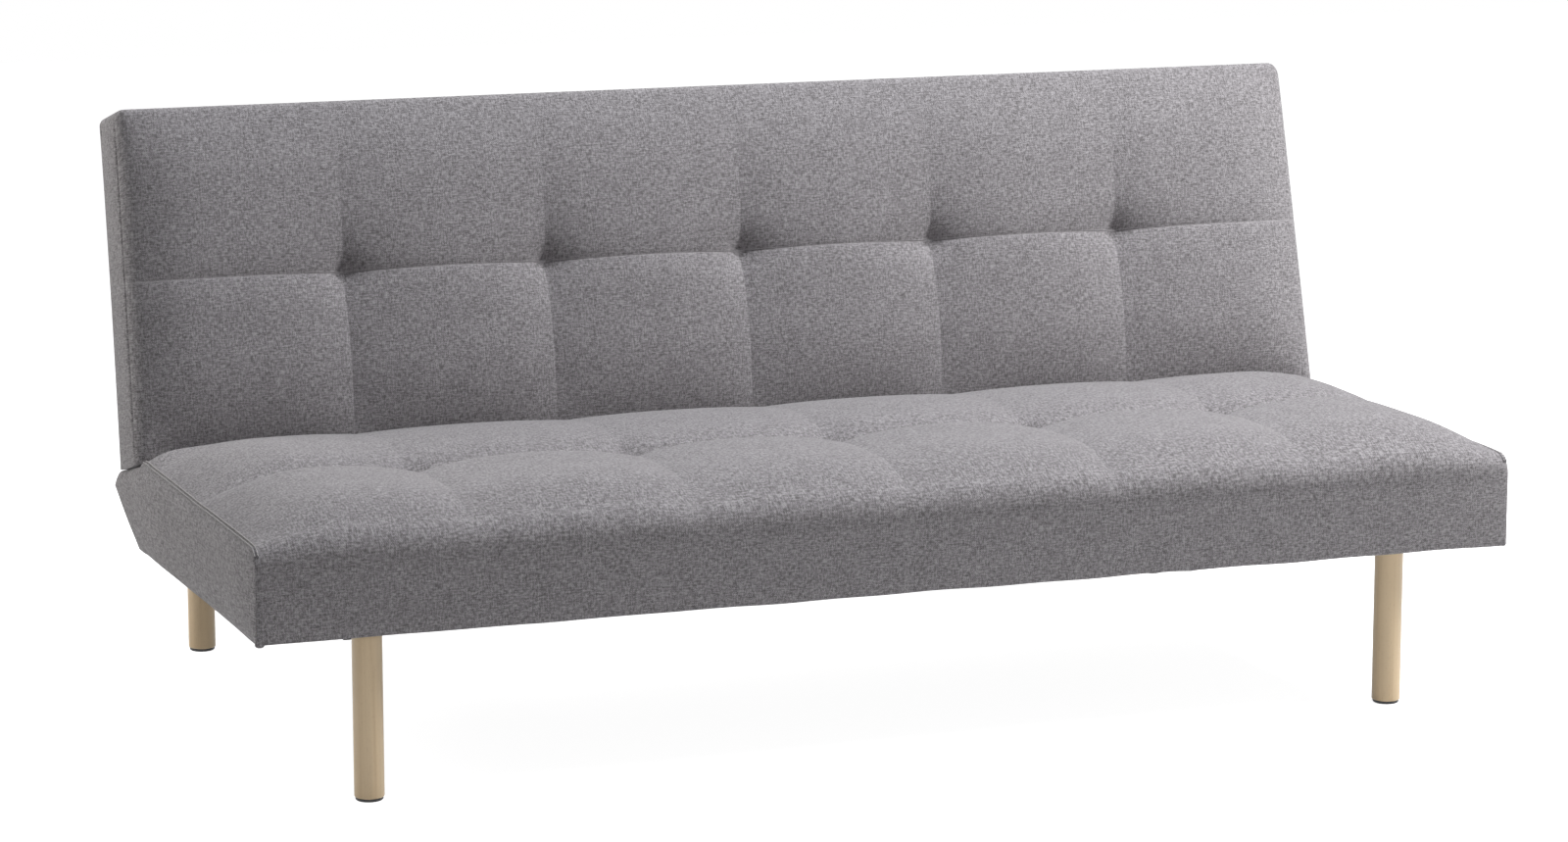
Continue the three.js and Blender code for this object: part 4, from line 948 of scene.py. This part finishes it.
def gathered_tab(place, way, size):
    """The knotted end of a seam: a flattened bead whose outline has three lobes and whose tip
    is drawn to one side. Radius: a superellipse of the length, times one plus a cosine of three
    turns."""
    rows, sides = 13, 25
    along = np.array(way) / np.linalg.norm(way)
    aside = np.cross(along, (0.0, 0.31, 0.95) if abs(along[2]) < 0.9 else (0.0, 1.0, 0.0))
    aside /= np.linalg.norm(aside)
    third = np.cross(along, aside)
    v = np.linspace(-1, 1, rows)[:, None]
    u = np.linspace(0, 2 * math.pi, sides)[None, :]
    radius = (1 - np.abs(v) ** 2.4) ** 0.5 * (1 + 0.13 * np.cos(3 * u + 2.2 * v))
    across = radius * np.cos(u) * size[0]
    over = radius * np.sin(u) * size[1]
    points = (np.array(place) + along * (v * size[2] + 0.0 * u)[..., None]
              + aside * (across + 0.0012 * v ** 2)[..., None] + third * over[..., None])
    return points, together(u * size[0], v * size[2]), grid_faces(rows, sides), False


def turned_about(places, profile, sides):
    """The same profile of (radius, height) points turned about an upright line through each
    place, with a number of sides: six for a hexagon head, more for a round one."""
    turn = np.linspace(0, 2 * math.pi, sides + 1)
    r, h = profile[:, 0, None], profile[:, 1, None]
    one = together(r * np.cos(turn), r * np.sin(turn), h)
    points = np.array(places)[:, None, None, :] + one[None]
    quads = repeated_faces(grid_faces(len(profile), sides + 1), one.size // 3, len(places))
    return points, np.zeros(points.shape[:-1] + (2,)), quads, False


def stitches(path, outward, length, radius):
    """Thread stitches along a path: each is a short six sided bead that dips into the cloth at its
    ends."""
    sides = 7
    aside = np.cross(unit(np.gradient(path, axis=0)), outward)
    along = unit(np.gradient(path, axis=0))
    places = np.array([-0.5, -0.3, 0.3, 0.5])
    thick = np.array([0.25, 1.0, 1.0, 0.25])
    lift = np.array([-0.6, 0.35, 0.35, -0.6])
    turn = np.linspace(0, 2 * math.pi, sides)
    spine = path[:, None, :] + along[:, None, :] * (places * length)[None, :, None]
    spine = spine + outward[:, None, :] * (lift * radius)[None, :, None]
    ring = aside[:, None, None, :] * np.cos(turn)[None, None, :, None]
    ring = ring + outward[:, None, None, :] * np.sin(turn)[None, None, :, None]
    points = spine[:, :, None, :] + ring * (thick * radius)[None, :, None, None]
    quads = repeated_faces(grid_faces(len(places), sides), len(places) * sides, len(path))
    return points, np.zeros(points.shape[:-1] + (2,)), quads, False


# Operators: one for each piece or group of like pieces


class SOFA_OT_upholster_seat(bpy.types.Operator):
    """Makes the seat's quilted cover with its rolled front, rounded nose and side panels"""
    bl_idname = "sofa.upholster_seat"
    bl_label = "Upholster seat"

    def execute(self, context):
        _, sheets = seat_sheets(context.scene.sofa_sizes)
        cover = piece_from_sheets("seat_upholstery", sheets, COVER_WELD)
        finish_piece(cover, "seat_base", "fabric", shared_finishes()["heather_polyester_weave"],
                     "seat_cover")
        return {"FINISHED"}


class SOFA_OT_upholster_backrest(bpy.types.Operator):
    """Makes the backrest's quilted cover with its side panels"""
    bl_idname = "sofa.upholster_backrest"
    bl_label = "Upholster backrest"

    def execute(self, context):
        _, sheets = back_sheets(context.scene.sofa_sizes)
        cover = piece_from_sheets("backrest_upholstery", sheets, COVER_WELD)
        finish_piece(cover, "back", "fabric", shared_finishes()["heather_polyester_weave"],
                     "back_cover")
        return {"FINISHED"}


class SOFA_OT_close_backrest(bpy.types.Operator):
    """Makes the fabric panel that closes the backrest's rear"""
    bl_idname = "sofa.close_backrest"
    bl_label = "Close backrest"

    def execute(self, context):
        shape = BackShape(context.scene.sofa_sizes)
        inset, turned_in, edge_breadth = 0.009, 0.0012, 0.006
        columns, rows = 121, 41
        half = shape.half - inset
        x = np.linspace(-half, half, columns)
        z = np.linspace(shape.foot + inset, shape.head - inset, rows)
        edge = np.minimum(shoulder(half - np.abs(x), edge_breadth, 2)[None, :],
                          shoulder(np.minimum(z - z[0], z[-1] - z), edge_breadth, 2)[:, None])
        upward = np.clip((z[:, None] - shape.tuft) / (z[-1] - shape.tuft), 0, 1)
        drop = corner_drop(x, half, 0.006)[None, :] * upward
        points = together(x[None, :], shape.rear - turned_in + turned_in * edge, z[:, None] - drop)
        uv = together(x[None, :], z[:, None])
        panel = piece_from_sheets(
            "backrest_rear_cloth", [(lean_to_frame(points), uv, grid_faces(len(z), len(x)), True)])
        finish_piece(panel, "back", "fabric", shared_finishes()["heather_polyester_weave"],
                     "back_rear_panel")
        return {"FINISHED"}


class SOFA_OT_line_underside(bpy.types.Operator):
    """Makes the dust cover under the seat, sagging between the rails, and its staples"""
    bl_idname = "sofa.line_underside"
    bl_label = "Line underside"

    def execute(self, context):
        shape = SeatShape(context.scene.sofa_sizes)
        # The lining hangs between the rails, and each hinge passes through a window at the rear
        inset, nose_inset, bay, fall = 0.016, 0.012, 0.722, 0.003
        window_inner, window_outer, window_length = 0.762, 0.796, 0.037
        columns, flat_rows, nose_rows = 91, 31, 13
        half = shape.half - inset
        x = np.unique(np.concatenate([
            np.linspace(-half, half, columns),
            [window_inner, window_outer, -window_inner, -window_outer]]))
        y = np.unique(np.concatenate([
            np.linspace(shape.front + inset, shape.undercut, flat_rows),
            np.linspace(shape.undercut, shape.tip_y - nose_inset, nose_rows)]))
        between = np.clip(1 - (np.abs(x) / bay) ** 4, 0, 1)[None, :]
        lengthways = shoulder(y - y[0], 0.1, 2) * shoulder(shape.undercut - y, 0.1, 2)
        sag = fall * between * lengthways[:, None]
        z = (shape.floor - 0.0001 + np.maximum(0, y - shape.undercut)[:, None] * shape.rise - sag
             + 0.0005 * (y > shape.undercut)[:, None])
        points = together(x[None, :], y[:, None], z)
        uv = together(x[None, :], y[:, None])
        middle = np.abs((x[:-1] + x[1:]) / 2)
        window = (((middle > window_inner) & (middle < window_outer))[None, :]
                  & (y[:-1] > shape.undercut - window_length)[:, None])
        lining = piece_from_sheets(
            "seat_dust_lining", [(points, uv, grid_faces(len(y), len(x), ~window), True)])
        finish_piece(lining, "seat_base", "lining", shared_finishes()["spunbond_polypropylene"],
                     "seat_dust_cover")

        inset, corner, level = 0.024, 0.03, shape.floor - 0.0004
        staple_pitch, staple_length, wire_radius = 0.062, 0.0105, 0.0006
        run_steps = 200
        side_x, front_y = shape.half - inset, shape.front + inset
        runs = [np.array([[-side_x, front_y, level], [side_x, front_y, level]])]
        runs += [np.array([[sign * side_x, front_y + corner, level],
                           [sign * side_x, shape.undercut - corner, level]]) for sign in (-1, 1)]
        staples = []
        for run in runs:
            places = evenly(finely(run, run_steps), staple_pitch)
            down = np.broadcast_to((0.0, 0.0, -1.0), places.shape)
            staples.append(stitches(places, down, staple_length, wire_radius))
        staple = piece_from_sheets("lining_staples", staples)
        finish_piece(staple, "seat_base", "steel", shared_finishes()["zinc_plated_steel"])
        return {"FINISHED"}


class SOFA_OT_fasten_base(bpy.types.Operator):
    """Makes the screws of the front leg plates and the bolts that hold the rails to the bearers"""
    bl_idname = "sofa.fasten_base"
    bl_label = "Fasten base"

    def execute(self, context):
        steel = shared_finishes()["zinc_plated_steel"]
        # Profiles of (radius, height) in millimetres, each point above the face that it seats on
        pan = np.array([[0, -1.0], [1.1, -1.0], [1.4, -2.2], [3.0, -2.0], [3.8, -1.2], [4.0, 0],
                        [2.0, 0], [2.0, 14.0], [0, 18.0]]) / 1000
        washer = np.array([[4.4, 0], [4.4, -1.5], [9.0, -1.5], [9.0, 0]]) / 1000
        head = np.array([[0, -6.5], [6.0, -6.5], [7.2, -5.9], [7.2, -1.5], [4.0, -1.5]]) / 1000
        shank = np.array([[4.0, -1.5], [4.0, 52.0], [0, 56.0]]) / 1000
        screw_place, face_above_low, front_offset = 0.023, 0.0027, 0.0056
        bolt_places = (0.146, 0.503)
        thread_sides, washer_sides, hexagon = 12, 20, 6
        spots = []
        for side in ("left", "right"):
            low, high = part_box(f"front_leg_plate_{side}")
            middle = (low + high) / 2
            spots += [(middle.x + u * screw_place, middle.y + v * screw_place, low.z)
                      for u in (-1, 1) for v in (-1, 1)]
        screws = piece_from_sheets(
            "leg_plate_screws", [turned_about(spots, pan, thread_sides)], PIECE_WELD)
        finish_piece(screws, "seat_base", "steel", steel)
        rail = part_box("base_frame")[0].z + face_above_low
        leg_low, leg_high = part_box("leg_front_right")
        across = (leg_low.x + leg_high.x) / 2
        spots = [(sign * across, SEAT_LOW.y + front_offset + place, rail)
                 for sign in (-1, 1) for place in bolt_places]
        bolts = piece_from_sheets("rail_bolts", [
            turned_about(spots, washer, washer_sides), turned_about(spots, head, hexagon),
            turned_about(spots, shank, thread_sides)], PIECE_WELD)
        finish_piece(bolts, "seat_base", "steel", steel)
        return {"FINISHED"}


class SOFA_OT_sew_seams(bpy.types.Operator):
    """Makes the double stitched welts along the seat's side seams, the stitches in the
    backrest's side seams and the small gathered tabs at the corners"""
    bl_idname = "sofa.sew_seams"
    bl_label = "Sew seams"

    def execute(self, context):
        sizes = context.scene.sofa_sizes
        cloth = shared_finishes()["heather_polyester_weave"]
        thread_finish = shared_finishes()["polyester_core_thread"]
        path_steps = 300
        shape, sheets = seat_sheets(sizes)
        wrap = sheets[0][0]
        x = quilt_columns(shape.half, sizes)
        top = len(HEM_IN) + PANEL_ROWS - 1
        corner_rows, before_crease = 4, 0.007
        last = int(np.argmax(shape.y >= shape.crease - before_crease))
        rows = np.arange(top + corner_rows, top + last)
        # Half of the welt's profile, (sideways, outwards)
        ridge = np.array([[0.0033, -0.0005], [0.0029, 0.0011], [0.0021, 0.0019], [0.0012, 0.0016],
                          [0.0004, 0.0002]])
        welt = np.concatenate([ridge, ridge[::-1] * (-1, 1)])
        welt_inset, gauge, thread_shift, thread_lift = 0.0042, 0.002, 0.002, 0.0019
        stitch_pitch, stitch_length, thread_radius = 0.0045, 0.0036, 0.0006
        for sign, side in ((-1, "left"), (1, "right")):
            seam, inner = (finely(strip_on(wrap, x, rows, sign * (shape.half - inset)), path_steps)
                           for inset in (welt_inset, welt_inset + gauge))
            aside = (inner - seam) * (1 / gauge)
            outward = unit(np.cross(np.gradient(seam, axis=0), aside) * sign)
            strip = piece_from_sheets(f"seat_seam_welt_{side}",
                                      [carried_profile(seam, outward, welt)])
            finish_piece(strip, "seat_base", "fabric", cloth)
            rows_of_thread = []
            for shift in (-thread_shift, thread_shift):
                line = seam + unit(aside) * shift + outward * thread_lift
                rows_of_thread.append(stitches(
                    evenly(line, stitch_pitch), evenly(outward, stitch_pitch, line),
                    stitch_length, thread_radius))
            thread = piece_from_sheets(f"seat_seam_thread_{side}", rows_of_thread)
            finish_piece(thread, "seat_base", "fabric", thread_finish)
            tabs = [gathered_tab(
                (sign * (shape.half - 0.005), shape.tip_y - 0.001, shape.tip_z + 0.001),
                (0, 0.75, 0.66), (0.0045, 0.0035, 0.008))]
            if side == "left":
                tabs.append(gathered_tab(
                    (-shape.half + 0.006, shape.front + 0.004, shape.floor + 0.0007),
                    (0.2, 0.1, -1), (0.007, 0.004, 0.0065)))
            tab = piece_from_sheets(f"seat_seam_tabs_{side}", tabs, PIECE_WELD)
            finish_piece(tab, "seat_base", "fabric", cloth)

        back, back_cloth = back_sheets(sizes)
        stitch_pitch, stitch_length, thread_radius, end_rows = 0.009, 0.0052, 0.0005, 3
        for number, sign, side in ((1, -1, "left"), (3, 1, "right")):
            seam = finely(back_cloth[number][0][end_rows:-end_rows, 0], path_steps)
            outward = np.broadcast_to((float(sign), 0.0, 0.0), seam.shape)
            ticks = stitches(evenly(seam, stitch_pitch), evenly(outward, stitch_pitch, seam),
                             stitch_length, thread_radius)
            thread = piece_from_sheets(f"backrest_seam_thread_{side}", [ticks])
            finish_piece(thread, "back", "fabric", thread_finish)
            corner = lean_to_frame(np.array(
                [sign * (back.half - 0.006), back.rear - 0.010, back.head - 0.017]))
            upright = (0, math.sin(LEAN), math.cos(LEAN))
            ear = piece_from_sheets(
                f"backrest_corner_tab_{side}",
                [gathered_tab(corner, upright, (0.006, 0.0055, 0.0085))], PIECE_WELD)
            finish_piece(ear, "back", "fabric", cloth)
        return {"FINISHED"}


class SOFA_OT_turn_legs(bpy.types.Operator):
    """Makes the turned legs with their eased feet"""
    bl_idname = "sofa.turn_legs"
    bl_label = "Turn legs"

    def execute(self, context):
        wood = shared_finishes()["lacquered_beech"]
        foot_ease, top_ease, top_drop, stud_radius = 0.0018, 0.0006, 0.0008, 0.0045
        shaft_rows, sides, ease_rows = 20, 64, 5
        turn = np.linspace(0, 2 * math.pi, sides + 1)
        ease = np.linspace(0, math.pi / 2, ease_rows)
        inset = foot_ease * (1 - np.sin(ease))
        climb = foot_ease * (1 - np.cos(ease))
        for name in ("leg_front_left", "leg_front_right", "leg_rear_left", "leg_rear_right"):
            low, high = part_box(name)
            centre = (low + high) / 2
            radius = (high.x - low.x) / 2
            r = np.concatenate([[0.0], radius - inset, np.full(shaft_rows, radius),
                                [radius - top_ease, stud_radius]])[:, None]
            z = np.concatenate([
                [low.z], low.z + climb, np.linspace(low.z + 0.004, high.z - top_drop, shaft_rows),
                [high.z, high.z]])[:, None]
            points = together(centre.x + r * np.cos(turn), centre.y + r * np.sin(turn), z)
            uv = together((turn * radius)[None, :], z)
            leg = piece_from_sheets(
                f"turned_{name}", [(points, uv, grid_faces(len(r), len(turn)), False)], PIECE_WELD)
            finish_piece(leg, "seat_base", "beech", wood, name)
        return {"FINISHED"}


class SOFA_OT_finish_frame(bpy.types.Operator):
    """Gives the frame's own nodes their finishes"""
    bl_idname = "sofa.finish_frame"
    bl_label = "Finish frame"

    def execute(self, context):
        finishes = shared_finishes()
        by_slot = {
            "fabric": "heather_polyester_weave", "foam": "open_cell_foam",
            "lining": "spunbond_polypropylene", "pine": "sawn_pine", "beech": "lacquered_beech",
            "steel": "zinc_plated_steel", "black_steel": "black_powder_coat",
            "rubber": "moulded_rubber", "glide": "polyethylene_glide"}
        slots = {part["node"]: part["material_slot"] for part in frame["record"]["subparts"]}
        for name, part in frame["nodes"].items():
            part.data.materials.clear()
            part.data.materials.append(finishes[by_slot[slots[name]]])
        return {"FINISHED"}


def seen_rays(tree):
    """One for a camera, mirror or glass ray, and nought for light that only bounces."""
    rays = node(tree, "ShaderNodeLightPath")
    seen = node(tree, "ShaderNodeMath", {"operation": "MAXIMUM"},
                i0=rays.outputs["Is Camera Ray"], i1=rays.outputs["Is Glossy Ray"])
    return node(tree, "ShaderNodeMath", {"operation": "MAXIMUM"},
                i0=seen.outputs[0], i1=rays.outputs["Is Transmission Ray"]).outputs[0]


def looking(place, aim):
    """The matrix of a lamp at a place that looks at an aim."""
    way = Vector(aim) - Vector(place)
    return Matrix.Translation(place) @ way.to_track_quat("-Z", "Y").to_matrix().to_4x4()


class SOFA_OT_set_stage(bpy.types.Operator):
    """Makes the floor, the soft studio light and the camera"""
    bl_idname = "sofa.set_stage"
    bl_label = "Set stage"

    def execute(self, context):
        scene = context.scene
        scene.view_settings.view_transform = "Standard"
        white, even_light, floor_glow = (1, 1, 1, 1), 0.12, 0.94

        # The world lights evenly; the camera, and mirrors and glass, see it as plain white
        world = bpy.data.worlds.new("studio")
        scene.world = world
        world.use_nodes = True
        tree = world.node_tree
        tree.nodes.clear()
        strength = node(tree, "ShaderNodeMapRange", {"To Min": even_light, "To Max": 1.0},
                        Value=seen_rays(tree))
        sky = node(tree, "ShaderNodeBackground", {"Color": white},
                   Strength=strength.outputs["Result"])
        node(tree, "ShaderNodeOutputWorld", Surface=sky.outputs[0]).is_active_output = True

        # The floor: matt white, raised to the background's white for the camera, with its shadow
        reach = 9.0
        flat = np.array([[[-reach, -reach, 0], [-reach, reach, 0]],
                         [[reach, -reach, 0], [reach, reach, 0]]], float)
        floor = piece_from_sheets("studio_floor", [(flat, flat[..., :2], grid_faces(2, 2), True)])
        paint, tree, shader = new_material(
            "matt_studio_white", 0.9, Specular_IOR_Level=0.0, Base_Color=(0.82, 0.82, 0.82, 1))
        seen = seen_rays(tree)
        glow_share = node(tree, "ShaderNodeMath", {"operation": "MULTIPLY", 1: floor_glow},
                          i0=seen)
        glow = node(tree, "ShaderNodeEmission", {"Color": white}, Strength=glow_share.outputs[0])
        dim = node(tree, "ShaderNodeBsdfDiffuse", {"Color": (0.8, 0.8, 0.8, 1)})
        lit = node(tree, "ShaderNodeAddShader", i0=glow.outputs[0], i1=dim.outputs[0])
        both = node(tree, "ShaderNodeMixShader", i0=seen, i1=shader.outputs[0], i2=lit.outputs[0])
        tree.links.new(both.outputs[0], tree.nodes["Material Output"].inputs["Surface"])
        floor.data.materials.append(paint)

        # Lamps: name, place, aim, size, power in watts, colour
        for name, place, aim, size, power, colour in (
                ("key_softbox", (2.4, -0.95, 2.35), (0.1, 0.0, 0.45), (0.9, 0.9), 79,
                 (1.0, 1.0, 1.01)),
                ("top_softbox", (0.0, -0.3, 3.2), (0.0, -0.2, 0.3), (2.0, 1.4), 40,
                 (0.98, 1.012, 1.07)),
                ("left_fill", (-2.2, 1.2, 1.6), (-0.9, 0.1, 0.4), (1.0, 1.0), 20,
                 (1.0, 0.98, 0.95))):
            lamp = bpy.data.lights.new(name, "AREA")
            lamp.shape = "RECTANGLE"
            lamp.size, lamp.size_y = size
            lamp.energy = power
            lamp.color = colour
            holder = bpy.data.objects.new(name, lamp)
            scene.collection.objects.link(holder)
            holder.matrix_world = looking(place, aim)

        # The camera stands where the picture was taken from, with no shift
        picture_width, focal_pixels, sensor_width = 1600, 4658.18, 36.0
        yaw, pitch = math.radians(20.84), math.radians(10.36)
        lens = bpy.data.cameras.new("camera")
        lens.sensor_width = sensor_width
        lens.lens = sensor_width * focal_pixels / picture_width
        lens.clip_end = 100
        camera = bpy.data.objects.new("camera", lens)
        scene.collection.objects.link(camera)
        camera.location = (-2.29049, -6.01967, 1.55443)
        camera.rotation_euler = (math.pi / 2 - pitch, 0, -yaw)
        scene.camera = camera
        return {"FINISHED"}


class SOFA_PT_sidebar(bpy.types.Panel):
    """Lists the sofa's steps in the sidebar"""
    bl_idname = "SOFA_PT_sidebar"
    bl_label = "Click clack sofa bed"
    bl_space_type = "VIEW_3D"
    bl_region_type = "UI"
    bl_category = "Sofa"

    def draw(self, context):
        for step in STEPS:
            self.layout.operator(step.bl_idname)


STEPS = (
    SOFA_OT_set_stage,
    SOFA_OT_finish_frame,
    SOFA_OT_upholster_seat,
    SOFA_OT_upholster_backrest,
    SOFA_OT_close_backrest,
    SOFA_OT_line_underside,
    SOFA_OT_fasten_base,
    SOFA_OT_sew_seams,
    SOFA_OT_turn_legs,
)
CLASSES = (SofaSizes, SofaLook) + STEPS + (SOFA_PT_sidebar,)


def register():
    for item in CLASSES:
        bpy.utils.register_class(item)
    bpy.types.Scene.sofa_sizes = PointerProperty(type=SofaSizes)
    bpy.types.Scene.sofa_look = PointerProperty(type=SofaLook)


def unregister():
    del bpy.types.Scene.sofa_look
    del bpy.types.Scene.sofa_sizes
    for item in reversed(CLASSES):
        bpy.utils.unregister_class(item)


def main():
    """Registers the classes and runs every step in order."""
    register()
    for step in STEPS:
        group, name = step.bl_idname.split(".")
        if getattr(getattr(bpy.ops, group), name)() != {"FINISHED"}:
            raise RuntimeError(f"{step.bl_label} did not finish")


if __name__ == "__main__":
    main()
